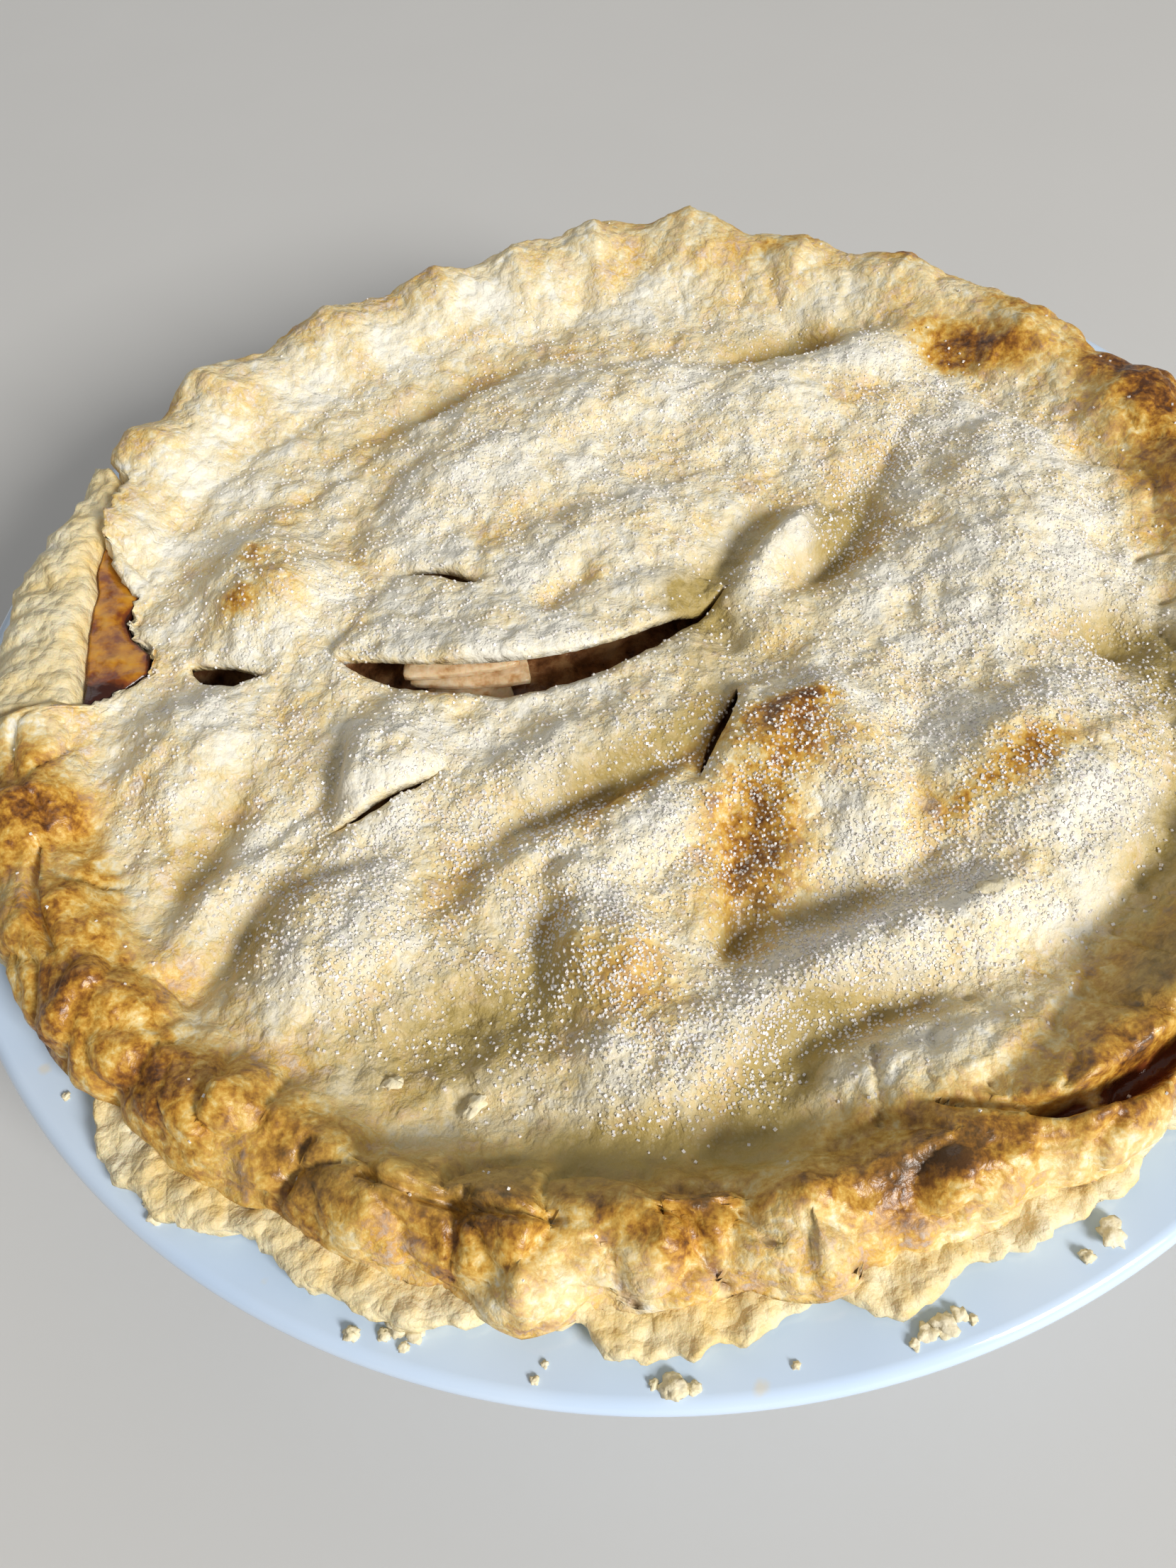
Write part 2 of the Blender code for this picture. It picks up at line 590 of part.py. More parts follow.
def make_dish(model):
    """A turned plate: a flat floor on a foot ring, a flared wall, and a wide rim with a rolled edge."""
    edge = DISH_WALL / 2
    roll = arc((DISH_RADIUS - edge, DISH_RIM_TOP - edge), edge, 90, -90, 6)
    below_shoulder = (DISH_MOUTH_RADIUS + 2 * SHOULDER_ROUND, DISH_SHOULDER_TOP - 2 * SHOULDER_ROUND)
    foot = [
        (FOOT_OUTER_RADIUS + FOOT_SPREAD, FOOT_HEIGHT), (FOOT_OUTER_RADIUS, FOOT_ROUND),
        (FOOT_OUTER_RADIUS - FOOT_ROUND, 0), (FOOT_INNER_RADIUS, 0),
        (FOOT_INNER_RADIUS - FOOT_RECESS, FOOT_RECESS), (0, FOOT_RECESS),
    ]
    underside = arc(below_shoulder, SHOULDER_ROUND, 95, 160, 2)
    profile = [(0, DISH_FLOOR_TOP), *dish_inside(), *roll, *underside, *foot]
    mesh = bpy.data.meshes.new("dish")
    mesh.from_pydata([(r, 0, z) for r, z in profile], [(i, i + 1) for i in range(len(profile) - 1)], [])
    mesh.materials.append(material(WHITE_GLAZE))
    dish = bpy.data.objects.new("dish", mesh)
    model.objects.link(dish)
    turn = dish.modifiers.new("Turn", "SCREW")
    turn.axis = "Z"
    turn.steps = turn.render_steps = RIM_SEGMENTS // 2
    turn.use_merge_vertices = True
    turn.merge_threshold = SCREW_MERGE
    turn.use_smooth_shade = True


def lining_inside():
    """Radius and height of the lining's inner side, from the middle of the floor up to its rim."""
    floor, wall_foot, wall_top = dish_inside()[0], dish_inside()[3], dish_inside()[4]
    section = shifted([floor, wall_foot, wall_top], CLEAR_INWARD + SHELL_INWARD, CLEAR_UPWARD + SHELL_UPWARD)
    return [*section, (section[-1][0] + FLANGE_LEAN, FLANGE_TOP)]


def make_bottom_crust(model, cutters):
    """The lining: up the inside of the dish, out over its rim to a ragged edge, and back down inside."""
    degrees = directions(RIM_SEGMENTS // 2)
    coarse = directions(RIM_SEGMENTS // 4)
    edge = around(degrees, LINING_EDGE)
    outer = shifted(dish_inside(), CLEAR_INWARD, CLEAR_UPWARD)
    inner = lining_inside()
    rings = [centre_point(outer[0][1]), ring(HUB_RADIUS, coarse, outer[0][1])]
    rings += [ring(radius, degrees, height) for radius, height in outer]
    rings.append(ring(edge - EDGE_ROUND, degrees, DISH_RIM_TOP + GAP))
    rings.append(ring(edge, degrees, DISH_RIM_TOP + EDGE_BELLY))
    rings.append(ring(edge - EDGE_ROUND, degrees, FLANGE_TOP))
    rings += [ring(radius, degrees, height) for radius, height in reversed(inner)]
    rings += [ring(HUB_RADIUS, coarse, inner[0][1]), centre_point(inner[0][1])]
    lining = loft("bottom_crust", rings, model, LINING_PASTRY)
    boolean(lining, make_strip(cutters), "UNION")


def tear_lines(count):
    """Directions along the tear, with the radius of the lid's torn edge and of the strip's inner side."""
    rows, torn, inner = zip(*TEAR)
    degrees = np.linspace(rows[0] + STRIP_END_GAP, rows[-1] - STRIP_END_GAP, count)
    return degrees, np.interp(degrees, rows, torn), np.interp(degrees, rows, inner)


def upright(direction, section):
    """Points of a section (radius, height) that stands in one direction from the pie's middle."""
    return [(*polar(direction, radius).tolist(), height) for radius, height in section]


def make_strip(cutters):
    """The lining's own standing rim, bared by the tear."""
    degrees, _, inner = tear_lines(STRIP_STEPS)
    rings = []
    for direction, start, knuckle in zip(degrees, inner, pinch(degrees)):
        top = STRIP_TOP + STRIP_HEIGHT_WAVE * (knuckle - 0.5)
        end = STRIP_OUTER_RADIUS + STRIP_RADIUS_WAVE * (knuckle - 0.5)
        section = [(start, FLANGE_TOP - STRIP_ROOT)]
        section += [(start + share * (end - start), top - drop) for share, drop in STRIP_SECTION]
        section += [(end, FLANGE_TOP), (end - EDGE_ROUND, DISH_RIM_TOP + EDGE_BELLY)]
        rings.append(upright(direction, section))
    return loft("strip", rings, cutters)


def make_syrup(model):
    """Syrup that boiled over and set between the lid's torn edge and the strip."""
    floor = FLANGE_TOP + GAP
    rings = []
    for direction, torn, inner in zip(*tear_lines(SYRUP_STEPS)):
        low, high = torn + GAP, inner - GAP
        if high - low > SYRUP_LEAST_WIDTH:
            surface = [
                (low, SYRUP_TOP - SYRUP_EDGE_DROP),
                ((low + high) / 2, SYRUP_TOP - SYRUP_MIDDLE_DROP),
                (high, SYRUP_TOP),
            ]
            rings.append(upright(direction, [(low, floor), *surface, (high, floor)]))
    loft("syrup", rings, model, DARK_SYRUP)


def make_filling(model, beds):
    """Cooked apple and sauce, from the lining's inner side up to the lid."""
    degrees = directions(RIM_SEGMENTS // 2)
    coarse = directions(RIM_SEGMENTS // 4)
    wall = shifted(lining_inside(), CLEAR_INWARD, CLEAR_UPWARD)
    rings = [centre_point(wall[0][1]), ring(HUB_RADIUS, coarse, wall[0][1])]
    rings += [ring(radius, degrees, height) for radius, height in wall[:-1]]
    rings.append(ring(FILLING_EDGE, degrees, FLANGE_TOP - FILLING_EDGE_DROP))
    rings += [ring(radius, degrees, filling_top) for radius in FILLING_RINGS]
    rings += [ring(radius, coarse, filling_top) for radius in FILLING_INNER_RINGS]
    rings.append(centre_point(filling_top))
    filling = loft("filling", rings, model, CINNAMON_FILLING)
    for bed in beds:
        boolean(filling, bed, "DIFFERENCE")


def slice_rings(half_length, half_width, thickness, grow):
    """A half-moon slice of apple lying flat: straight core side, round peel side, softly bevelled."""
    turns = np.radians(np.linspace(0, 180, SLICE_ARC_STEPS + 1))
    outline = [(math.cos(a) * half_length, (2 * math.sin(a) - 1) * half_width) for a in turns]
    outline += [
        (share * half_length, -half_width * (1 + SLICE_CORE_DIP * math.cos(share)))
        for share in SLICE_CORE_POINTS
    ]
    return [
        [
            (
                x * inset + math.copysign(grow, x),
                y * inset + math.copysign(grow, y),
                share * (thickness + 2 * grow),
            )
            for x, y in outline
        ]
        for share, inset in SLICE_SECTION
    ]


def make_apple_slices(model, cutters):
    """The slices. Returns a slightly larger bed for each, to be cut from the filling."""
    beds = []
    for name, (centre, half_length, half_width, thickness, turn, tilt) in APPLE_SLICES.items():
        apple = loft(name, slice_rings(half_length, half_width, thickness, 0), model, APPLE_FLESH)
        bed = loft(f"bed_of_{name}", slice_rings(half_length, half_width, thickness, SLICE_BED_GAP), cutters)
        for obj in (apple, bed):
            obj.location = centre
            obj.rotation_euler = (math.radians(tilt), 0, math.radians(turn))
        beds.append(bed)
    return beds


def main():
    clear_scene()
    model = new_collection("apple_pie")
    cutters = new_collection("cutters")
    make_dish(model)
    make_bottom_crust(model, cutters)
    make_syrup(model)
    beds = make_apple_slices(model, cutters)
    make_filling(model, beds)
    make_top_crust(model, cutters)


main()
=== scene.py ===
"""A home-baked apple pie in its white dish: the looks of its crust, fruit, syrup, sugar and glaze."""

import math

import bmesh
import bpy
import numpy as np
from mathutils import Matrix, Vector, noise
from mathutils.geometry import delaunay_2d_cdt


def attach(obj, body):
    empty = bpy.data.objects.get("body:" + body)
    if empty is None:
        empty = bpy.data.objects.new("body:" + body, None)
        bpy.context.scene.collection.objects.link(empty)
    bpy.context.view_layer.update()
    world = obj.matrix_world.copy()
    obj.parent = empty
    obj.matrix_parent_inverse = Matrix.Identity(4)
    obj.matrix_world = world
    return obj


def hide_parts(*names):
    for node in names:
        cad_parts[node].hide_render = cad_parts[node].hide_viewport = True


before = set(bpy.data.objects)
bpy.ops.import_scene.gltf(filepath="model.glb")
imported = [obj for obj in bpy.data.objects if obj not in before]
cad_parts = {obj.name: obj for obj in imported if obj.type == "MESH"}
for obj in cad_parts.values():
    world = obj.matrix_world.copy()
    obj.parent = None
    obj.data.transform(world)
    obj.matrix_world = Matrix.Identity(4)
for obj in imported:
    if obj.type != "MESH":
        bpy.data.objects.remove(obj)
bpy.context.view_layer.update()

# Camera: it looks down over the front rim from above the pie's near side, and is tilted a little to one
# side, as a camera in an outstretched hand is. Its lens is a moderately wide one.
CAMERA_PLACE = (0.0, -0.15839, 0.22792)
CAMERA_PITCH = math.radians(55.766)
CAMERA_YAW = math.radians(-5.210)
CAMERA_ROLL = math.radians(-8.146)
CAMERA_LENS = 27.03
CAMERA_SENSOR = 36.0
CAMERA_NEAREST = 0.01


def placed(name, data):
    """A new object in the scene, made of a camera, a lamp or a mesh."""
    thing = bpy.data.objects.new(name, data)
    bpy.context.scene.collection.objects.link(thing)
    return thing


ahead = Vector((
    math.sin(CAMERA_YAW) * math.cos(CAMERA_PITCH),
    math.cos(CAMERA_YAW) * math.cos(CAMERA_PITCH),
    -math.sin(CAMERA_PITCH),
))
level_right = ahead.cross(Vector((0, 0, 1))).normalized()
level_up = level_right.cross(ahead)
right = math.cos(CAMERA_ROLL) * level_right + math.sin(CAMERA_ROLL) * level_up
up = -math.sin(CAMERA_ROLL) * level_right + math.cos(CAMERA_ROLL) * level_up
camera_data = bpy.data.cameras.new("camera")
camera_data.lens = CAMERA_LENS
camera_data.sensor_width = CAMERA_SENSOR
camera_data.clip_start = CAMERA_NEAREST
camera = placed("camera", camera_data)
camera.matrix_world = Matrix.Translation(CAMERA_PLACE) @ Matrix((right, up, -ahead)).transposed().to_4x4()
bpy.context.scene.camera = camera

# Light: a soft window far off at the front right, a weak one close behind the pie, and a pale room that
# lights it from all round. Each window has its place, its width, its power and its colour.
LIGHTS = {
    "window": ((1.45, -1.50, 1.22), 0.70, 62.0, (1.0, 0.985, 0.96)),
    "back_window": ((-0.30, 0.75, 0.70), 0.70, 1.2, (0.92, 0.96, 1.0)),
}
ROOM_COLOUR = (1.0, 0.99, 0.97, 1.0)
ROOM_STRENGTH = 0.27

for name, (place, size, power, colour) in LIGHTS.items():
    lamp = bpy.data.lights.new(name, "AREA")
    lamp.shape = "SQUARE"
    lamp.size = size
    lamp.energy = power
    lamp.color = colour
    light = placed(name, lamp)
    light.location = place
    light.rotation_euler = (-Vector(place)).to_track_quat("-Z", "Y").to_euler()
room = bpy.data.worlds.new("room")
room.use_nodes = True
room.node_tree.nodes["Background"].inputs["Color"].default_value = ROOM_COLOUR
room.node_tree.nodes["Background"].inputs["Strength"].default_value = ROOM_STRENGTH
bpy.context.scene.world = room
bpy.context.scene.view_settings.view_transform = "Standard"

# Floor: a plain pale matte top, far wider than the dish, that the foot ring stands on. It is only there to
# carry the pie and its shadow.
FLOOR_HALF_WIDTH = 3.0
FLOOR_COLOUR = (0.66, 0.65, 0.63)
FLOOR_ROUGHNESS = 0.75
FLOOR_CLOUD_SIZE = 0.05
FLOOR_CLOUD_SHADE = 0.97


class Signal:
    """An output in a finish's node tree. Arithmetic on it adds Math nodes."""

    def __init__(self, finish, socket):
        self.finish = finish
        self.socket = socket

    def sum_of(self, operation, *terms):
        return self.finish.node("ShaderNodeMath", {"operation": operation}, dict(enumerate(terms)))

    def __add__(self, other):
        return self.sum_of("ADD", self, other)

    def __radd__(self, other):
        return self.sum_of("ADD", other, self)

    def __sub__(self, other):
        return self.sum_of("SUBTRACT", self, other)

    def __rsub__(self, other):
        return self.sum_of("SUBTRACT", other, self)

    def __mul__(self, other):
        return self.sum_of("MULTIPLY", self, other)

    def __rmul__(self, other):
        return self.sum_of("MULTIPLY", other, self)

    def clipped(self):
        return self.finish.node("ShaderNodeClamp", {}, {"Value": self})

    def between(self, low, high):
        """0 at the low value and 1 at the high one, with a soft start and end."""
        inputs = {"Value": self, "From Min": low, "From Max": high}
        return self.finish.node("ShaderNodeMapRange", {"interpolation_type": "SMOOTHSTEP"}, inputs)


class Finish:
    """A procedural material, made of one glossy or matte shader and the patterns that feed it."""

    def __init__(self, name, **constants):
        self.material = bpy.data.materials.new(name)
        self.material.use_nodes = True
        self.tree = self.material.node_tree
        self.shader = self.tree.nodes["Principled BSDF"]
        for socket, value in constants.items():
            self.shader.inputs[socket.replace("_", " ")].default_value = value
        self.place = self.node("ShaderNodeTexCoord", {}, {}, "Object")

    def node(self, kind, settings, inputs, output=0):
        """A new node's output: its settings are made first, then its sockets' values and links."""
        node = self.tree.nodes.new(kind)
        for setting, value in settings.items():
            if setting == "stops":
                self.lay_stops(node.color_ramp, value)
            else:
                setattr(node, setting, value)
        for socket, value in inputs.items():
            if isinstance(value, Signal):
                self.tree.links.new(value.socket, node.inputs[socket])
            else:
                node.inputs[socket].default_value = value
        return Signal(self, node.outputs[output])

    def lay_stops(self, ramp, stops):
        while len(ramp.elements) < len(stops):
            ramp.elements.new(1.0)
        for element, (position, colour) in zip(ramp.elements, stops):
            element.position = position
            element.color = (*colour, 1.0)

    def speckle(self, size, detail=3.0, roughness=0.55, warp=0.0):
        """Soft noise, 0 to 1, whose patches are about that many metres across."""
        inputs = {"Vector": self.place, "Scale": 1 / size, "Detail": detail}
        inputs |= {"Roughness": roughness, "Distortion": warp}
        return self.node("ShaderNodeTexNoise", {}, inputs)

    def cells(self, size):
        """Distance to the nearest of scattered points, 1 being as far as they are apart: that many metres."""
        inputs = {"Vector": self.place, "Scale": 1 / size}
        return self.node("ShaderNodeTexVoronoi", {}, inputs, "Distance")

    def painted(self, attribute):
        """A value that the mesh carries at its points."""
        return self.node("ShaderNodeAttribute", {"attribute_name": attribute}, {}, "Fac")

    def ramp(self, value, stops):
        return self.node("ShaderNodeValToRGB", {"stops": stops}, {"Fac": value})

    def mix(self, share, first, second):
        """The first colour turning to the second as the share goes from 0 to 1."""
        colours = [one if isinstance(one, Signal) else (*one, 1.0) for one in (first, second)]
        inputs = {"Factor": share, 6: colours[0], 7: colours[1]}
        return self.node("ShaderNodeMix", {"data_type": "RGBA"}, inputs, 2)

    def feed(self, socket, value):
        """Lets a pattern drive one of the shader's sockets."""
        self.tree.links.new(value.socket, self.shader.inputs[socket])

    def raise_by(self, height, distance, strength=1.0):
        """Fine relief on the surface: the distance is what a height of 1 stands up, in metres."""
        inputs = {"Height": height, "Distance": distance, "Strength": strength}
        self.feed("Normal", self.node("ShaderNodeBump", {}, inputs))


def smooth_piece(name, mesh, finish):
    """A mesh in its finish and smoothly shaded, placed in the scene."""
    mesh.polygons.foreach_set("use_smooth", [True] * len(mesh.polygons))
    mesh.materials.append(finish.material)
    return placed(name, mesh)


def object_of(name, points, faces, finish):
    """A smooth closed piece made from points and faces, with its faces turned outwards."""
    mesh = bpy.data.meshes.new(name)
    mesh.from_pydata([tuple(point) for point in points], [], [tuple(face) for face in faces])
    bm = bmesh.new()
    bm.from_mesh(mesh)
    bmesh.ops.recalc_face_normals(bm, faces=bm.faces)
    bm.to_mesh(mesh)
    bm.free()
    return smooth_piece(name, mesh, finish)


floor_finish = Finish("pale_floor", Roughness=FLOOR_ROUGHNESS)
floor_clouds = floor_finish.speckle(FLOOR_CLOUD_SIZE)
floor_tones = [(0.0, [tone * FLOOR_CLOUD_SHADE for tone in FLOOR_COLOUR]), (1.0, FLOOR_COLOUR)]
floor_finish.feed("Base Color", floor_finish.ramp(floor_clouds, floor_tones))
floor_mesh = bpy.data.meshes.new("floor")
corners = [(x * FLOOR_HALF_WIDTH, y * FLOOR_HALF_WIDTH, 0) for x, y in ((-1, -1), (1, -1), (1, 1), (-1, 1))]
floor_mesh.from_pydata(corners, [], [(0, 1, 2, 3)])
floor_mesh.materials.append(floor_finish.material)
floor = placed("floor", floor_mesh)

# Dish: one turned stoneware plate with a flared wall and a wide rim rolled at its edge, dipped in a cool
# white gloss glaze. Its colour is painted bluer than the glaze, as painted cool light from a window. Its foot
# ring is wiped bare, so that it can stand in the kiln. The rim has spots of grease from the baking.
DISH_RADIUS = 0.140
DISH_RIM_TOP = 0.0460
DISH_WALL = 0.0050
DISH_FLOOR_TOP = 0.0070
DISH_FLOOR_RADIUS = 0.086
DISH_MOUTH_RADIUS = 0.1120
DISH_SHOULDER_TOP = 0.0435
FLOOR_ROUND = 0.0080
SHOULDER_ROUND = 0.0050
FOOT_OUTER_RADIUS = 0.0880
FOOT_INNER_RADIUS = 0.0800
FOOT_ROUND = 0.0010
FOOT_SPREAD = 0.0035
FOOT_HEIGHT = 0.0060
FOOT_RECESS = 0.0015
FLOOR_TURN = (285, 330)
SHOULDER_TURN = (160, 95)
DISH_TURN_STEPS = 8
DISH_ROLL_STEPS = 14
DISH_DIRECTIONS = 288
# The glaze's two blues: its cool white with painted cool window light.
GLAZE_COLOURS_WITH_COOL_LIGHT = [(0.35, (0.60, 0.75, 0.96)), (0.65, (0.66, 0.79, 0.96))]
GLAZE_CLOUD_SIZE = 0.03
GLAZE_ROUGHNESS = 0.07
GLAZE_UNEVENNESS = 0.06
GLAZE_UNEVEN_SIZE = 0.02
GLAZE_RIPPLE_SIZE = 0.012
GLAZE_RIPPLE_HEIGHT = 0.0002
GLAZE_RIPPLE_STRENGTH = 0.35
BARE_CLAY = (0.62, 0.54, 0.44)
BARE_CLAY_TOP = 0.0006
BARE_CLAY_ROUGHER = 0.6
GREASE_COLOUR = (0.78, 0.70, 0.52)
GREASE_STRENGTH = 0.55
GREASE_RAG_SIZE = 0.004
GREASE_RAG_DEPTH = 0.003
GREASE_SPOTS = (
    (-0.104, -0.085, 0.0030), (-0.112, -0.070, 0.0022), (0.048, -0.126, 0.0024), (0.010, -0.137, 0.0030),
    (-0.062, -0.120, 0.0022), (0.086, -0.101, 0.0030),
)


def arc(middle, radius, start, end, steps):
    """Points (radius, height) along an arc, between two angles in degrees."""
    turns = np.radians(np.linspace(start, end, steps + 1))
    return [(middle[0] + radius * math.cos(turn), middle[1] + radius * math.sin(turn)) for turn in turns]


def directions(count):
    """That many equal steps round the pie, in degrees."""
    return np.arange(count) * 360 / count


def polar(degrees, radius):
    """Places seen from above, in a direction and at a distance from the pie's middle."""
    turn = np.radians(degrees)
    return np.stack([radius * np.cos(turn), radius * np.sin(turn)], axis=-1)


def ring(degrees, radius, height):
    """Points round the pie, at a radius and a height for each direction."""
    plan = polar(degrees, np.broadcast_to(radius, degrees.shape))
    return np.column_stack([plan, np.broadcast_to(height, degrees.shape)])


def bands(rows, columns, first=0, closed=True):
    """Faces between rows of points that are numbered one row after the other."""
    faces = []
    for row in range(rows - 1):
        start = first + row * columns
        for column in range(columns if closed else columns - 1):
            beside = (column + 1) % columns
            faces.append((start + column, start + beside, start + columns + beside, start + columns + column))
    return faces


def skin_of_rings(rings, pole_first, pole_last):
    """Points and faces of a closed form: a stack of equal rings with a pole at each end."""
    columns = len(rings[0])
    points = np.vstack([*rings, pole_first, pole_last])
    faces = bands(len(rings), columns)
    last = (len(rings) - 1) * columns
    total = len(rings) * columns
    faces += [((i + 1) % columns, i, total) for i in range(columns)]
    faces += [(last + i, last + (i + 1) % columns, total + 1) for i in range(columns)]
    return points, faces


def dish_inside(steps):
    """Radius and height of the dish's inner side, from its floor up the wall and over onto the rim."""
    floor_middle = (DISH_FLOOR_RADIUS - FLOOR_ROUND / 2, DISH_FLOOR_TOP + FLOOR_ROUND)
    shoulder_middle = (DISH_MOUTH_RADIUS + SHOULDER_ROUND, DISH_SHOULDER_TOP - SHOULDER_ROUND)
    floor_turn = arc(floor_middle, FLOOR_ROUND, *FLOOR_TURN, steps)
    return [(DISH_FLOOR_RADIUS - FLOOR_ROUND, DISH_FLOOR_TOP), *floor_turn,
            *arc(shoulder_middle, SHOULDER_ROUND, *SHOULDER_TURN, steps)]


def dish_profile():
    """The turned outline, from the middle of the floor over the rim to the middle of the underside."""
    edge = DISH_WALL / 2
    roll = arc((DISH_RADIUS - edge, DISH_RIM_TOP - edge), edge, 90, -90, DISH_ROLL_STEPS)
    below_shoulder = (DISH_MOUTH_RADIUS + 2 * SHOULDER_ROUND, DISH_SHOULDER_TOP - 2 * SHOULDER_ROUND)
    foot = [
        (FOOT_OUTER_RADIUS + FOOT_SPREAD, FOOT_HEIGHT), (FOOT_OUTER_RADIUS + FOOT_ROUND / 2, 2 * FOOT_ROUND),
        (FOOT_OUTER_RADIUS, FOOT_ROUND), (FOOT_OUTER_RADIUS - FOOT_ROUND / 3, FOOT_ROUND / 3),
        (FOOT_OUTER_RADIUS - FOOT_ROUND, 0), (FOOT_INNER_RADIUS, 0),
        (FOOT_INNER_RADIUS - FOOT_RECESS / 2, FOOT_RECESS / 4),
        (FOOT_INNER_RADIUS - FOOT_RECESS, FOOT_RECESS), (FOOT_INNER_RADIUS / 2, FOOT_RECESS),
    ]
    return [(DISH_FLOOR_RADIUS / 2, DISH_FLOOR_TOP), *dish_inside(DISH_TURN_STEPS), *roll,
            *arc(below_shoulder, SHOULDER_ROUND, *reversed(SHOULDER_TURN), DISH_TURN_STEPS), *foot]


around_dish = directions(DISH_DIRECTIONS)
dish_rings = [ring(around_dish, radius, height) for radius, height in dish_profile()]
dish_points, dish_faces = skin_of_rings(dish_rings, (0, 0, DISH_FLOOR_TOP), (0, 0, FOOT_RECESS))
glaze = Finish("white_glaze", Roughness=0.10, Coat_Weight=0.4, Coat_Roughness=0.05, IOR=1.52)
glaze_tone = glaze.ramp(glaze.speckle(GLAZE_CLOUD_SIZE, detail=2.0), GLAZE_COLOURS_WITH_COOL_LIGHT)
for x, y, size in GREASE_SPOTS:
    spot = {0: glaze.place, 1: (x, y, DISH_RIM_TOP)}
    reach = glaze.node("ShaderNodeVectorMath", {"operation": "DISTANCE"}, spot, "Value")
    ragged_reach = reach + glaze.speckle(GREASE_RAG_SIZE) * GREASE_RAG_DEPTH
    glaze_tone = glaze.mix(ragged_reach.between(size, size / 2) * GREASE_STRENGTH, glaze_tone, GREASE_COLOUR)
height_above_floor = glaze.node("ShaderNodeSeparateXYZ", {}, {"Vector": glaze.place}, "Z")
bare = height_above_floor.between(BARE_CLAY_TOP, BARE_CLAY_TOP / 2)
glaze.feed("Base Color", glaze.mix(bare, glaze_tone, BARE_CLAY))
unevenness = glaze.speckle(GLAZE_UNEVEN_SIZE) * GLAZE_UNEVENNESS
glaze.feed("Roughness", unevenness + GLAZE_ROUGHNESS + bare * BARE_CLAY_ROUGHER)
glaze.raise_by(glaze.speckle(GLAZE_RIPPLE_SIZE, detail=1.0), GLAZE_RIPPLE_HEIGHT, GLAZE_RIPPLE_STRENGTH)
dish = object_of("pie_dish", dish_points, dish_faces, glaze)
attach(dish, "root")
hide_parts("dish")

# Bottom crust: shortcrust rolled out, laid in the dish and trimmed by hand, so its edge on the dish's rim
# is ragged and crumbly. At the left the tear in the lid bares its own standing rim. Tables that run round
# the pie give degrees first.
GAP = 0.00035
CLEAR_INWARD = 0.0004
CLEAR_UPWARD = 0.0005
SHELL_INWARD = 0.0034
SHELL_UPWARD = 0.0030
LINING_TURN_STEPS = 3
LINING_POLE_RADIUS = 0.04
FLANGE_TOP = 0.0490
FLANGE_LEAN = 0.0015
FLANGE_ROWS = 15
FLANGE_START = 0.93
LINING_DIRECTIONS = 900
LINING_EDGE = (
    (0, 0.129), (14, 0.1315), (30, 0.128), (47, 0.132), (63, 0.129), (80, 0.133), (97, 0.1295),
    (115, 0.1285), (130, 0.1325), (148, 0.1305), (170, 0.132), (192, 0.13), (207, 0.133), (218, 0.131),
    (224, 0.129), (228, 0.136), (237, 0.1355), (241, 0.13), (246, 0.1345), (253, 0.134), (261, 0.1285),
    (267, 0.1335), (273, 0.133), (279, 0.127), (283, 0.133), (289, 0.13), (297, 0.132), (303, 0.1285),
    (315, 0.1315), (330, 0.129), (345, 0.132),
)
EDGE_RAGS = ((0.0085, 0.0022), (0.0040, 0.0014), (0.0016, 0.0006))
BITE_SIZE = 0.0100
BITE_DEPTH = 0.0045
BITE_THRESHOLD = 0.1
BITE_SHIFT = 0.05
EDGE_CLEAR_OF_RIM = 0.0025
EDGE_NOISE_RADIUS = 0.13
EDGE_NOISE_LEVEL = 0.2
EDGE_THICKNESS = 0.0034
EDGE_THICKNESS_WAVE = 0.0012
EDGE_WAVE_SIZE = 0.006
OVERHANG_SHARES = (0.35, 0.7, 0.9)
OVERHANG_RISE = 0.0024
EDGE_SECTION = ((0.0008, 0.0), (0.0002, 0.15), (0.0, 0.4), (0.0001, 0.65), (0.0005, 0.88), (0.0012, 1.0))
LINING_LUMPS = ((0.0080, 0.0011, 2), (0.0038, 0.0010, 2))
TEAR = (
    (156.0, 0.124, 0.1255), (158.0, 0.1185, 0.12), (162.0, 0.1165, 0.1177), (166.0, 0.115, 0.117),
    (169.0, 0.1095, 0.116), (172.0, 0.1045, 0.1135), (175.5, 0.1055, 0.1125), (178.0, 0.103, 0.112),
    (180.5, 0.0985, 0.111), (183.5, 0.098, 0.1105), (186.0, 0.104, 0.11), (188.5, 0.1085, 0.11),
)
STRIP_TOP = 0.0582
STRIP_OUTER_RADIUS = 0.1325
STRIP_START_INSET = 0.5
STRIP_END_INSET = 0.3
STRIP_STEPS = 110
STRIP_WAVE_SIZE = 0.012
STRIP_WAVE_RADIUS = 0.12
STRIP_WAVE_OUTWARD = 0.0016
STRIP_WAVE_UPWARD = 0.0012
STRIP_LUMPS = ((0.010, 0.0018, 2), (0.0036, 0.0010, 2))
STRIP_LUMPS_OUTWARD = 0.4
STRIP_LUMPS_UPWARD = 0.8
STRIP_LUMPS_FROM = (0.0480, 0.0510)
STRIP_SECTION_TOP = 0.0094
STRIP_SECTION = (
    (0.0, -0.001), (0.0, 0.003), (0.02, 0.006), (0.07, 0.008), (0.14, 0.009), (0.24, 0.0094),
    (0.36, 0.0093), (0.48, 0.009), (0.6, 0.0086), (0.72, 0.0078), (0.82, 0.0068), (0.9, 0.0054),
    (0.96, 0.0036), (1.0, 0.0014), (1.0, -0.0008), (0.93, -0.0022), (0.5, -0.0024), (0.05, -0.0022),
)
DOUGH_TONES = [
    (0.00, (0.89, 0.85, 0.73)), (0.17, (0.86, 0.75, 0.48)), (0.33, (0.81, 0.60, 0.24)),
    (0.47, (0.71, 0.43, 0.085)), (0.62, (0.54, 0.26, 0.028)), (0.80, (0.28, 0.105, 0.010)),
    (1.00, (0.085, 0.026, 0.004)),
]
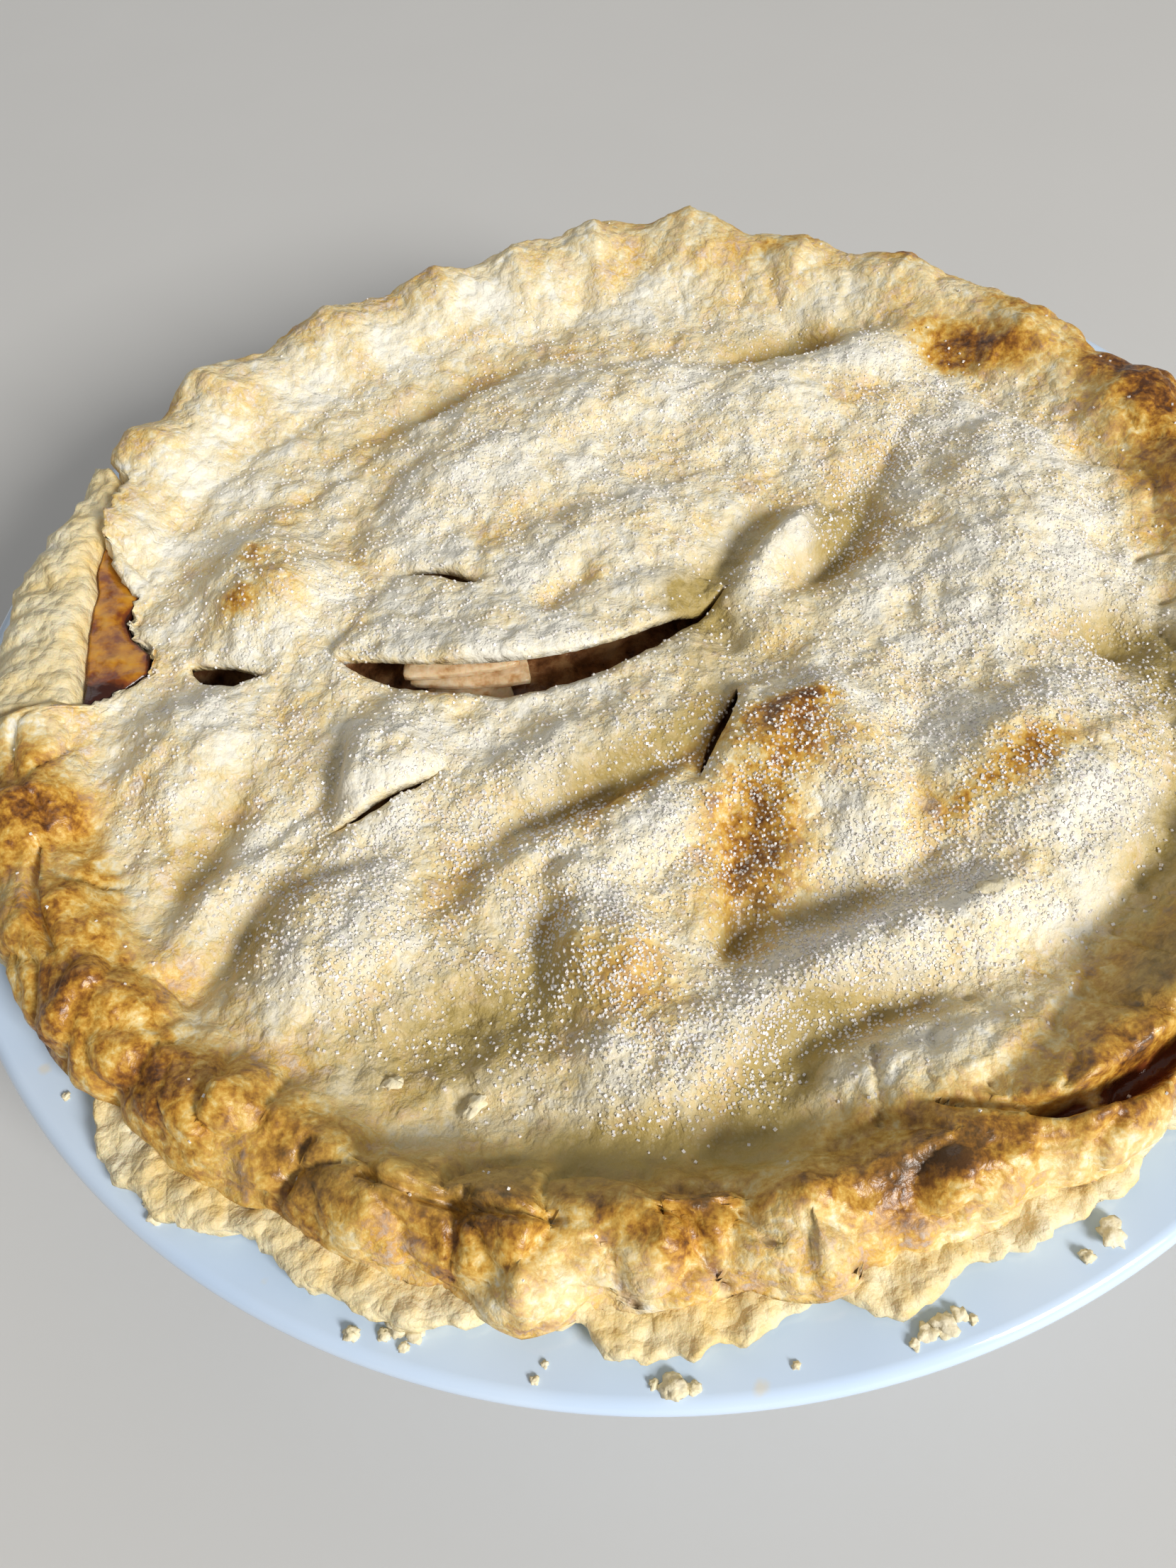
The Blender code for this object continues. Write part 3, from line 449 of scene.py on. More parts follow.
LINING_CRUMB_SIZE = 0.0022
LINING_CLOUD_SIZE = 0.011
LINING_BLISTER_SIZE = 0.0026
LINING_BLISTER_SHARE = 0.9
LINING_RELIEF = 0.0008
LINING_BROWNING = 0.26
EDGE_PALER = 0.06
TOP_PAINTED_LIGHT = 0.04
EDGE_PALES_OVER = (0.120, 0.137)
TOP_PAINTED_LIGHT_OVER = (0.050, 0.058)
LINING_CRUMB_TONE = 0.30
LINING_CLOUD_TONE = 0.35
LINING_ROUGHNESS = 0.62
LINING_BROWN_SMOOTHER = 0.2
OCTAVE_SOFTER = 1.0
OCTAVE_FINER = 2.0
LEAST_LENGTH = 1e-12


def lumps(points, size, octaves):
    """Smooth noise at each point, about -1 to 1, with lumps of about that size in metres."""
    spots = [Vector(point) / size for point in points]
    return np.array([noise.fractal(spot, OCTAVE_SOFTER, OCTAVE_FINER, octaves) for spot in spots])


def smoothstep(low, high, value):
    """0 up to the low value and 1 from the high one, with a soft start and end."""
    share = np.clip((value - low) / (high - low), 0, 1)
    return share * share * (3 - 2 * share)


def around(degrees, table):
    """The second column's value in that direction, on straight lines between a table's rows round the pie."""
    rows = [(table[-1][0] - 360, table[-1][1]), *table, (table[0][0] + 360, table[0][1])]
    return np.interp(degrees, *zip(*rows))


def normals_of(grid):
    """The outward or inward direction at each point of a grid of rings."""
    along = np.roll(grid, -1, axis=1) - np.roll(grid, 1, axis=1)
    up_rows = np.gradient(grid, axis=0)
    cross = np.cross(along, up_rows)
    return cross / np.maximum(np.linalg.norm(cross, axis=2, keepdims=True), LEAST_LENGTH)


def paint(piece, attribute, values):
    """Puts a value at each of the mesh's points, for its material or its scatter to read."""
    layer = piece.data.attributes.new(attribute, "FLOAT", "POINT")
    layer.data.foreach_set("value", np.asarray(values, np.float32))


def ragged_edge(degrees):
    """The trimmed edge's radius: as cut, less crumbs and bites that broke off."""
    circle = np.column_stack([polar(degrees, EDGE_NOISE_RADIUS), np.zeros(len(degrees))])
    edge = around(degrees, LINING_EDGE)
    for size, depth in EDGE_RAGS:
        edge = edge + depth * lumps(circle, size, 1)
    bite = np.clip(lumps(circle + BITE_SHIFT, BITE_SIZE, 1) - BITE_THRESHOLD, 0, 1)
    return np.minimum(edge - BITE_DEPTH * bite, DISH_RADIUS - EDGE_CLEAR_OF_RIM)


around_lining = directions(LINING_DIRECTIONS)
lining_edge = ragged_edge(around_lining)
edge_circle = polar(around_lining, EDGE_NOISE_RADIUS)
edge_circle = np.column_stack([edge_circle, np.full(LINING_DIRECTIONS, EDGE_NOISE_LEVEL)])
edge_thickness = EDGE_THICKNESS + EDGE_THICKNESS_WAVE * lumps(edge_circle, EDGE_WAVE_SIZE, 2)
outer_side = [(r - CLEAR_INWARD, z + CLEAR_UPWARD) for r, z in dish_inside(LINING_TURN_STEPS)]
outer_floor, outer_mouth = outer_side[0], outer_side[-1]
inner_floor, inner_foot, inner_top = (
    (r - SHELL_INWARD, z + SHELL_UPWARD)
    for r, z in (outer_floor, outer_side[1 + LINING_TURN_STEPS], outer_side[2 + LINING_TURN_STEPS])
)
inner_rim = inner_top[0] + FLANGE_LEAN
lining_profile = [(LINING_POLE_RADIUS, outer_floor[1]), *outer_side]
for share in OVERHANG_SHARES:
    radius = outer_mouth[0] + share * (lining_edge - outer_mouth[0])
    lining_profile.append((radius, outer_mouth[1] + share * OVERHANG_RISE))
bottom = DISH_RIM_TOP + GAP
shown_first = len(lining_profile)
for inset, share in EDGE_SECTION:
    lining_profile.append((lining_edge - inset, bottom + share * edge_thickness))
for share in np.linspace(FLANGE_START, 0.0, FLANGE_ROWS):
    radius = inner_rim + share * (lining_edge - EDGE_SECTION[-1][0] - inner_rim)
    height = bottom + edge_thickness * share + (FLANGE_TOP - bottom) * (1 - share)
    lining_profile.append((radius, height))
shown_rows = len(lining_profile) - shown_first
lining_profile += [inner_top, inner_foot, inner_floor, (LINING_POLE_RADIUS, inner_floor[1])]
lining_grid = np.array([ring(around_lining, radius, height) for radius, height in lining_profile])
lining_normals = normals_of(lining_grid)
shown = slice(shown_first, shown_first + shown_rows)
rough_share = np.ones((shown_rows, 1))
rough_share[[0, -1]] = 0.0
for size, height, octaves in LINING_LUMPS:
    raised = height * lumps(lining_grid[shown].reshape(-1, 3), size, octaves).reshape(shown_rows, -1)
    lift = np.abs(lining_normals[shown]) * np.sign(lining_grid[shown] * (1, 1, 0) + (0, 0, 1))
    lining_grid[shown] += lift * (raised * rough_share)[..., None]
lining_poles = (0, 0, outer_floor[1]), (0, 0, inner_floor[1])
lining_points, lining_faces = skin_of_rings(list(lining_grid), *lining_poles)

tear_rows, tear_radii, strip_radii = zip(*TEAR)
strip_degrees = np.linspace(tear_rows[0] + STRIP_START_INSET, tear_rows[-1] - STRIP_END_INSET, STRIP_STEPS)
strip_start = np.interp(strip_degrees, tear_rows, strip_radii)
strip_arc = np.column_stack([polar(strip_degrees, STRIP_WAVE_RADIUS), np.ones(STRIP_STEPS)])
strip_wave = lumps(strip_arc, STRIP_WAVE_SIZE, 2)
strip_sections = []
for direction, start, wave in zip(strip_degrees, strip_start, strip_wave):
    end = STRIP_OUTER_RADIUS + STRIP_WAVE_OUTWARD * wave
    top_share = (STRIP_TOP - FLANGE_TOP + STRIP_WAVE_UPWARD * wave) / STRIP_SECTION_TOP
    section = [(start + share * (end - start), FLANGE_TOP + max(height * top_share, height))
               for share, height in STRIP_SECTION]
    strip_sections.append([(*polar(direction, radius), height) for radius, height in section])
strip_points = np.array(strip_sections).reshape(-1, 3)
strip_out = strip_points * (1, 1, 0)
strip_out = strip_out / np.linalg.norm(strip_out, axis=1, keepdims=True) * STRIP_LUMPS_OUTWARD
strip_out = strip_out + (0, 0, STRIP_LUMPS_UPWARD)
strip_rough = sum(height * lumps(strip_points, size, octaves) for size, height, octaves in STRIP_LUMPS)
strip_rough = strip_rough * smoothstep(*STRIP_LUMPS_FROM, strip_points[:, 2])
strip_points = strip_points + strip_out * strip_rough[:, None]
first_strip = len(lining_points)
section_count = len(STRIP_SECTION)
strip_faces = bands(STRIP_STEPS, section_count, first_strip)
strip_faces.append(tuple(range(first_strip, first_strip + section_count)))
strip_end = first_strip + (STRIP_STEPS - 1) * section_count
strip_faces.append(tuple(range(strip_end, strip_end + section_count)))
lining_pastry = Finish("lining_pastry", Roughness=0.6, Subsurface_Weight=0.08, Subsurface_Scale=0.003)
crumble = lining_pastry.speckle(LINING_CRUMB_SIZE, detail=4.0)
patches = lining_pastry.speckle(LINING_CLOUD_SIZE, detail=2.0)
# baked carries the lining's browning, with painted light on the standing strip's top.
baked = lining_pastry.painted("browning")
bake = baked + (crumble - 0.5) * LINING_CRUMB_TONE + (patches - 0.5) * LINING_CLOUD_TONE
lining_pastry.feed("Base Color", lining_pastry.ramp(bake, DOUGH_TONES))
lining_pastry.feed("Roughness", LINING_ROUGHNESS - baked * LINING_BROWN_SMOOTHER)
blisters = lining_pastry.cells(LINING_BLISTER_SIZE) * LINING_BLISTER_SHARE
lining_pastry.raise_by(crumble - blisters, LINING_RELIEF)
lining_points = np.vstack([lining_points, strip_points])
lining = object_of("bottom_crust_baked", lining_points, lining_faces + strip_faces, lining_pastry)
lining_co = np.array([vertex.co for vertex in lining.data.vertices])
out_share = smoothstep(*EDGE_PALES_OVER, np.hypot(lining_co[:, 0], lining_co[:, 1]))
height_share = smoothstep(*TOP_PAINTED_LIGHT_OVER, lining_co[:, 2])
# The standing strip's top is painted paler, as painted light; the ragged outer edge is paler too.
paint(lining, "browning", LINING_BROWNING - TOP_PAINTED_LIGHT * height_share - EDGE_PALER * out_share)
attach(lining, "root")
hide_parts("bottom_crust")

# Top crust: a second round of shortcrust laid over the fruit, slit for steam, and pinched to the lining in
# a fat uneven rim. The fruit pushes it up in bulges, and the oven browns the rim and the thin places.
# Tables of bulges, patches, creases and crumbs are in millimetres.
LID_THICKNESS = 0.0035
LID_EDGE_TOP = 0.0530
LID_RISE = 0.0035
LID_DOME_RADIUS = 0.100
VALLEY_RADIUS = 0.0985
VALLEY_SHIFT_X = -0.0040
VALLEY_SHIFT_Y = -0.0060
VALLEY_BULGE = ((0, 0), (258, 0), (270, 0.0024), (285, 0.0035), (300, 0.0044), (310, 0.002), (318, 0))
CREST_TOP = 0.0608
CREST_INSET = 0.0075
WALL_FULLNESS = 0.8
WALL_FLARE = 0.0048
SLOPE_STEPS = 30
SLOPE_FROM = 0.08
LEDGE_RADIUS = 0.1085
LEDGE_INSET = 0.0012
PINCH_DEPTH = 0.0060
PINCH_AT_CREST = 0.4
KNUCKLES = (
    (11, 0.1245), (24, 0.127), (38, 0.1225), (55, 0.1275), (67, 0.124), (81, 0.1305), (92, 0.1265),
    (102, 0.124), (112, 0.1215), (125, 0.126), (142, 0.1275), (152, 0.1265), (164, 0.1255), (175, 0.1265),
    (187, 0.125), (199, 0.126), (211, 0.1265), (220, 0.127), (235, 0.124), (249, 0.1235), (260, 0.1275),
    (269, 0.1225), (279, 0.124), (290, 0.122), (301, 0.1245), (313, 0.123), (326, 0.1255), (338, 0.1235),
    (350, 0.125),
)
MILLIMETRES = 1000
# Bulges of the fruit below: centre, half sizes along and across, turn in degrees, height.
BULGES = (
    (-75, 12, 12.5, 15, 0, 6.2), (-56, 36, 22, 6.5, 60, -2), (-30, 48, 26, 18, 30, 3.8),
    (4, 64, 20, 12, 15, 3.4), (34, 60, 18, 12, 40, 3), (59, 72, 14, 8, 30, 3.6), (38, 81, 15, 5, 14, -3),
    (32, 14, 15, 4.5, 40, 3.6), (20, 12.5, 16, 4.5, 52, -2.6), (44, 19, 19, 5.5, 62, -3.2),
    (38.5, 9.5, 11, 5, 38, -2), (76, 14, 32, 17, 78, 5), (-4, 20, 20, 11, 20, 2.2),
    (-15, 3, 9, 4, 45, -1.2), (29, -36, 17, 12, 40, 4.6), (37.5, -48, 13, 6.5, 95, 2.8),
    (15.5, -58, 13, 4.5, 80, -2.2), (13.5, -71, 6, 3.5, 60, -2.8), (-14, -35, 20, 7, 22, 2.2),
    (-12, -44, 19, 4.2, 24, -3.2), (-10, -54, 20, 8, 20, 2.8), (-36, -62, 8, 5, 40, -2),
    (70, -46, 22, 18, 20, 6.2), (27, -67, 15, 4.5, 12, -2.8), (16, -6, 12, 4.5, -60, -2),
    (40, -76, 26, 6.8, 20, 4.4), (18, -93, 8, 4.5, 48, -2.6), (32, -85.5, 13, 4.2, 12, -3.4),
    (-10, -73, 10, 12, 10, 4.8), (-19, -71, 10, 4, 85, -2.6), (2, -92, 16, 8, 15, 3),
    (44, -97, 23, 10, 18, 4), (-54, -67, 16, 12, 55, 4.4), (-73.5, -68, 11, 5, 63, -3.4),
    (-56, -55.5, 9, 3.5, 20, -2), (-30, -85, 18, 8, 15, -2.8), (-85, -27, 14, 11, 55, 4.4),
    (-80, -48, 13, 4.5, 68, -2.8), (-76, -62, 12, 5, 60, 2.4), (-48, -34, 12, 10, 35, 3.4),
    (-57.5, -37, 9, 3, 85, -2.2), (89, -15, 7, 6, 0, -3.4), (76.5, -84.5, 13, 5, 33, -2.2),
    (-43, 70, 28, 5.5, 34, -2.6), (-30, -100, 20, 5.5, 15, -1.8), (5, -104.5, 25, 5, 2, -2.2),
    (88, -56, 20, 5.5, 57, -2.2),
)
# The vents: Bezier points, half width, lift of the side to the left of the way they run, reach of the lift.
LONG_VENT = (
    ((-0.060, -0.0075), (-0.046, -0.0155), (-0.012, -0.029), (0.0185, 0.0045)), 0.0028, 0.0056, 0.022,
)
FLAP_CUT = (
    ((-0.058, -0.0475), (-0.051, -0.046), (-0.044, -0.042), (-0.036, -0.0365)), 0.0006, 0.0026, 0.014,
)
LEFT_VENT = (
    ((-0.090, -0.0045), (-0.085, -0.0085), (-0.079, -0.0105), (-0.0735, -0.0095)), 0.0027, 0.0008, 0.010,
)
SMALL_VENT = (
    ((-0.0475, 0.0142), (-0.042, 0.0136), (-0.036, 0.0112), (-0.031, 0.0082)), 0.0015, 0.0010, 0.008,
)
MIDDLE_VENT = (
    ((0.0175, -0.022), (0.0165, -0.028), (0.0120, -0.034), (0.0090, -0.042)), 0.0013, 0.0022, 0.012,
)
VENTS = (LONG_VENT, FLAP_CUT, LEFT_VENT, SMALL_VENT, MIDDLE_VENT)
VENT_SAMPLES = 48
VENT_TAPER = 0.7
VENT_POINT = 0.002
LIFT_TAPER = 0.6
LIP_ROUND = 0.0008
LIP_REACH = 0.0018
TORN_WOBBLE = 0.00022
TORN_WOBBLE_SIZE = 0.0022
TORN_RAG = 0.00035
TORN_RAG_TURNS = (150, 271)
TORN_RAG_SHIFT = 1.3
LID_SPACING = 0.0010
LEAST_OUTLINE_STEPS = 8
UNDERSIDE_SPACING = 0.0045
LEAST_SPACING = 0.55
ROW_SPACING = 0.866
NET_HALF_WIDTH = 0.12
VENT_NEIGHBOURHOOD = 0.06
SAME_PLACE = 1e-7
LID_DIRECTIONS = 760
RIM_ROWS = 50
BULGE_GAIN = 1.2
HOLLOW_GAIN = 1.6
SLICE_EDGE = 1.5
PINCH_SOFTER = 0.42
PEAK_WAVE = 0.0030
PEAK_LEVEL = 0.4
TEAR_START = (154.8, 0.1285)
TEAR_END = (190.1, 0.1250)
TEAR_STEP = 0.4
NO_TEAR = 0.2
TEAR_SLOPE_INSET = 0.0020


def bezier(points, steps):
    """Points along a Bezier curve, and the direction to the left of it at each."""
    a, b, c, d = np.array(points)
    t = np.linspace(0, 1, steps + 1)[:, None]
    spots = a * (1 - t) ** 3 + 3 * b * t * (1 - t) ** 2 + 3 * c * t * t * (1 - t) + d * t**3
    ways = 3 * (b - a) * (1 - t) ** 2 + 6 * (c - b) * t * (1 - t) + 3 * (d - c) * t * t
    ways /= np.linalg.norm(ways, axis=1, keepdims=True)
    return spots, np.stack([-ways[:, 1], ways[:, 0]], axis=1)


def slit_width(share, half_width):
    """Half the width of a slit, at a share of its length."""
    return half_width * np.sin(np.pi * np.clip(share, VENT_POINT, 1 - VENT_POINT)) ** VENT_TAPER


def nearest(x, y, points):
    """For each place: the nearest share of a Bezier curve's length, how far off, and how far to the left."""
    spots, lefts = bezier(points, VENT_SAMPLES)
    away = np.stack([x, y], axis=-1)[..., None, :] - spots
    near = np.argmin((away**2).sum(-1), axis=-1)
    offset = np.take_along_axis(away, near[..., None, None], axis=-2)[..., 0, :]
    return near / VENT_SAMPLES, np.linalg.norm(offset, axis=-1), (offset * lefts[near]).sum(-1)


def vent_relief(x, y, vent):
    """How far a vent lifts the lid on one side, and how far its lips are rounded down."""
    points, half_width, lift, reach = vent
    share, distance, side = nearest(x, y, points)
    width = slit_width(share, half_width)
    raised = smoothstep(-width, width, side) * np.exp(-((distance / reach) ** 2))
    lip = smoothstep(LIP_REACH, 0, distance - width) * min(LIP_ROUND, half_width)
    return lift * np.sin(np.pi * share) ** LIFT_TAPER * raised, lip


def blots(x, y, rows, edge=1.0):
    """The sum of soft oval patches: centre, half sizes along and across, turn in degrees, strength."""
    total = np.zeros_like(x)
    for *lengths, turn, strength in rows:
        cx, cy, along, across = (length / MILLIMETRES for length in lengths)
        c, s = math.cos(math.radians(turn)), math.sin(math.radians(turn))
        u = ((x - cx) * c + (y - cy) * s) / along
        v = ((y - cy) * c - (x - cx) * s) / across
        total += strength * np.exp(-((u**2 + v**2) ** edge))
    return total


def dome(x, y):
    """The lid's height without its vents: a shallow dome with the bulges of the fruit."""
    share = np.clip(np.hypot(x, y) / LID_DOME_RADIUS, 0, 1)
    humps = [row for row in BULGES if row[-1] > 0]
    hollows = [row for row in BULGES if row[-1] < 0]
    lumpy = BULGE_GAIN * blots(x, y, humps, SLICE_EDGE) + HOLLOW_GAIN * blots(x, y, hollows)
    return LID_EDGE_TOP + LID_RISE * (1 - share**2) + lumpy / MILLIMETRES


def lid_top(x, y):
    """The lid's height with its vents' lifted sides and rounded lips."""
    height = dome(x, y)
    for vent in VENTS:
        raised, lip = vent_relief(x, y, vent)
        height = height + raised - lip
    return height


def lid_underside(x, y):
    """The height of the lid's lower side, which follows the upper one without its lips."""
    height = dome(x, y) - LID_THICKNESS
    for vent in VENTS:
        height = height + vent_relief(x, y, vent)[0]
    return height


def pinch(degrees):
    """1 on a knuckle of the rim, falling to 0 in the sharp groove between two knuckles."""
    centres = [knuckle[0] for knuckle in KNUCKLES]
    centres = [centres[-1] - 360, *centres, centres[0] + 360]
    return np.abs(np.cos(np.pi * np.interp(degrees, centres, range(len(centres)))))


def torn_radius(degrees):
    """Where the lid ends along the tear, and far outside it everywhere else."""
    rows = [TEAR_START, *[row[:2] for row in TEAR], TEAR_END]
    rows = [(TEAR_START[0] - TEAR_STEP, NO_TEAR), *rows, (TEAR_END[0] + TEAR_STEP, NO_TEAR)]
    torn = np.interp(degrees, *zip(*rows), left=NO_TEAR, right=NO_TEAR)
    slow, fast = TORN_RAG_TURNS
    rag = np.sin(np.radians(degrees) * slow) + np.sin(np.radians(degrees) * fast + TORN_RAG_SHIFT)
    return torn + TORN_RAG * rag


def valley_radius(degrees):
    """Where the lid's flat middle ends and its rim begins to rise."""
    turn = np.radians(degrees)
    valley = VALLEY_RADIUS + VALLEY_SHIFT_X * np.cos(turn) + VALLEY_SHIFT_Y * np.sin(turn)
    return np.minimum(valley + around(degrees, VALLEY_BULGE), torn_radius(degrees) - TEAR_SLOPE_INSET)


# Creases finer than the bulges, where the dough sank between slices or folded as it shrank: their two ends,
# half width and depth. Cracks: Bezier points, half width, the lowest level that they reach, greatest depth.
CREASES = np.array((
    (-14, 34, 3, 28, 0.9, 0.6), (-19, -5, -12, 9, 3, 0.8), (13.5, -44, 12.5, -78, 1.6, 1.2),
    (60, -82, 84, -64, 2.2, 1.6), (31, 10, 56, 43, 1.8, 1.4), (47, 21, 64, 56, 2.2, 1.4),
    (-72, -52, -56, -36, 1.4, 1), (22, -70, 62, -52, 1.6, 1.2), (-56, -46, -56, -22, 1.2, 1.2),
    (-30, -64, -6, -52, 1.4, 1), (-42, -93, -15, -101, 2, 1), (6, -105, 38, -98, 2, 1.2),
    (23, -96, 56, -86, 1.2, 1), (-78, 33, -48, 62, 2.2, 1), (18, 76, 52, 88, 1.6, 1.2),
    (-17, 72, 16, 82, 2, 1), (-17.8, -64, -6, -65.5, 2.2, 1.4), (-6, -65.5, 6.3, -70.2, 2, 1),
    (-17.3, -85.4, -11.1, -79.9, 2.6, 1.8), (39, -92, 41.8, -93.6, 1.7, 2.2),
    (46.6, -84.5, 48.2, -85.5, 1.2, 1.4), (45, -95, 48, -95.8, 1.1, 1.5),
    (19.5, -96.2, 23.2, -94.8, 1.2, 1.8), (59.2, -92, 61.2, -90.2, 1.4, 1.8),
    (26.5, -99, 28.3, -98.2, 1.1, 1.2), (33, -98, 34.5, -96, 1, 1),
)) / MILLIMETRES
CRACKS = (
    (((0.052, -0.105), (0.064, -0.104), (0.078, -0.096), (0.093, -0.08)), 0.0021, 0.0515, 0.008),
    (((0.039, -0.102), (0.046, -0.1035), (0.052, -0.1045), (0.059, -0.1042)), 0.0005, 0.052, 0.0024),
    (((-0.045, -0.109), (-0.036, -0.113), (-0.027, -0.1155), (-0.0165, -0.1165)), 0.0005, 0.053, 0.0028),
    (((-0.1085, -0.048), (-0.1075, -0.056), (-0.1045, -0.063), (-0.1, -0.07)), 0.0006, 0.053, 0.0034),
    (((-0.053, -0.103), (-0.0555, -0.105), (-0.056, -0.109), (-0.06, -0.113)), 0.0005, 0.051, 0.0018),
    (((-0.029, -0.112), (-0.033, -0.115), (-0.0295, -0.12), (-0.0335, -0.124)), 0.0006, 0.05, 0.0022),
    (((-0.0115, -0.119), (-0.008, -0.121), (-0.01, -0.125), (-0.006, -0.127)), 0.0006, 0.05, 0.0022),
    (((-0.002, -0.116), (0.004, -0.116), (0.001, -0.122), (0.007, -0.125)), 0.0007, 0.05, 0.0026),
    (((0.006, -0.115), (0.011, -0.116), (0.01, -0.12), (0.013, -0.121)), 0.0004, 0.05, 0.0016),
    (((0.024, -0.124), (0.027, -0.123), (0.029, -0.126), (0.033, -0.1255)), 0.0009, 0.05, 0.003),
    (((0.0319, -0.0928), (0.0305, -0.097), (0.0318, -0.101), (0.0301, -0.1046)), 0.0003, 0.05, 0.0014),
)
CRACK_EDGE = 0.0009
CRACK_FLAT_SHARE = 0.4
CREASE_END = 0.04
FOLD_TURN = math.radians(33)
FOLD_STRETCH = 2.3
LID_LUMPS = ((0.0140, 0.0013, 2), (0.0060, 0.0010, 2), (0.0028, 0.00042, 1))
RIM_LUMPS = ((0.0170, 0.0019, 2), (0.0070, 0.0007, 2), (0.0030, 0.0004, 1))
RIM_FOLD_SIZE = 0.0130
RIM_FOLD_DEPTH = 0.0018
RIM_FOLD_SHARPNESS = 10
RIM_FOLD_STRETCH = (1, 1, 0.6)
RIM_FOLD_SHIFT = 0.3
BACK_SOFTER = 0.65
BACK_FROM = 0.06
LAYER_THICKNESS = 0.0024
LAYER_LEDGE = 0.00045
LAYER_WARP = 1.6
LAYER_WARP_SIZE = 0.010
LAYER_WARP_SHIFT = 0.7
ROLLED = ((0, 1.0), (190, 1.0), (197, 0.3), (222, 0.3), (227, 1.0), (231, 0.5), (238, 0.5), (242, 1.0))
RIM_BLEND_ROWS = 7
FOOT_BLEND_ROWS = 2


def crack_depth(x, y, z):
    """How far down a crack in the lid reaches at each place."""
    depth = np.zeros_like(x)
    for points, half_width, floor_height, deepest in CRACKS:
        share, distance, _ = nearest(x, y, points)
        width = slit_width(share, half_width)
        open_share = smoothstep(width + CRACK_EDGE, width * CRACK_FLAT_SHARE, distance)
        depth = np.maximum(depth, open_share * np.clip(z - floor_height, 0, deepest))
    return depth


def crease_depth(x, y):
    """How far the lid's fine creases dip at each place."""
    depth = np.zeros_like(x)
    for x1, y1, x2, y2, half_width, deep in CREASES:
        way = np.array([x2 - x1, y2 - y1])
        share = np.clip(((x - x1) * way[0] + (y - y1) * way[1]) / (way @ way), 0, 1)
        distance = np.hypot(x - x1 - share * way[0], y - y1 - share * way[1])
        along = np.sin(np.pi * np.clip(share, CREASE_END, 1 - CREASE_END))
        depth += deep * along * np.exp(-((distance / half_width) ** 2))
    return depth


def lid_relief(x, y):
    """Folds, lumps and flakes of the lid, finer than its bulges and longest along its folds."""
    c, s = math.cos(FOLD_TURN), math.sin(FOLD_TURN)
    folded = np.column_stack([(x * c + y * s) / FOLD_STRETCH, y * c - x * s, np.zeros_like(x)])
    plain = np.column_stack([x, y, np.zeros_like(x)])
    size, height, octaves = LID_LUMPS[0]
    relief = height * lumps(folded, size, octaves)
    for size, height, octaves in LID_LUMPS[1:]:
        relief += height * lumps(plain + size, size, octaves)
    return relief - crease_depth(x, y)


def rim_relief(points):
    """Lumps of the pinched rim, with sharp folds, softer at the back, and ledges where the dough doubled."""
    relief = np.zeros(len(points))
    for size, height, octaves in RIM_LUMPS:
        relief += height * lumps(points + size, size, octaves)
    fold = 1 - np.abs(lumps(points * RIM_FOLD_STRETCH + RIM_FOLD_SHIFT, RIM_FOLD_SIZE, 1))
    fold_depth = RIM_FOLD_DEPTH * (1 - BACK_SOFTER * smoothstep(0.0, BACK_FROM, points[:, 1]))
    layer = points[:, 2] / LAYER_THICKNESS + LAYER_WARP * lumps(points + LAYER_WARP_SHIFT, LAYER_WARP_SIZE, 2)
    ledge = LAYER_LEDGE * (layer - np.floor(layer)) ** 3
    return relief - fold_depth * fold**RIM_FOLD_SHARPNESS - ledge


def vent_outline(points, half_width):
    """A vent's torn outline, anticlockwise: down its right side, and back up its left side."""
    length = np.linalg.norm(np.diff(bezier(points, VENT_SAMPLES)[0], axis=0), axis=1).sum()
    steps = max(LEAST_OUTLINE_STEPS, round(length / LID_SPACING))
    spots, lefts = bezier(points, steps)
    width = slit_width(np.linspace(0, 1, steps + 1), half_width)[:, None]
    level_spots = np.column_stack([spots, np.zeros(steps + 1)])
    wobble = np.abs(TORN_WOBBLE * lumps(level_spots, TORN_WOBBLE_SIZE, 2)[:, None])
    left = spots + lefts * (width - wobble)
    right = spots - lefts * (width - wobble[::-1])
    return np.concatenate([spots[:1], right[1:-1], spots[-1:], left[-2:0:-1]])


def inside(spots, outline):
    """Whether each spot lies inside a closed outline."""
    x, y = spots.T
    odd = np.zeros(len(spots), bool)
    for (x1, y1), (x2, y2) in zip(outline, np.roll(outline, -1, axis=0)):
        crossed = (y1 > y) != (y2 > y)
        if y1 != y2:
            odd ^= crossed & (x < (x2 - x1) * (y - y1) / (y2 - y1) + x1)
    return odd


def within(spots, border, margin):
    """Whether each spot lies inside the lid's border, and at least that far from it."""
    degrees = np.degrees(np.arctan2(spots[:, 1], spots[:, 0])) % 360
    border_radius = np.hypot(*border.T)
    limit = np.interp(degrees, [*directions(len(border)), 360], [*border_radius, border_radius[0]])
    return np.hypot(*spots.T) < limit - margin


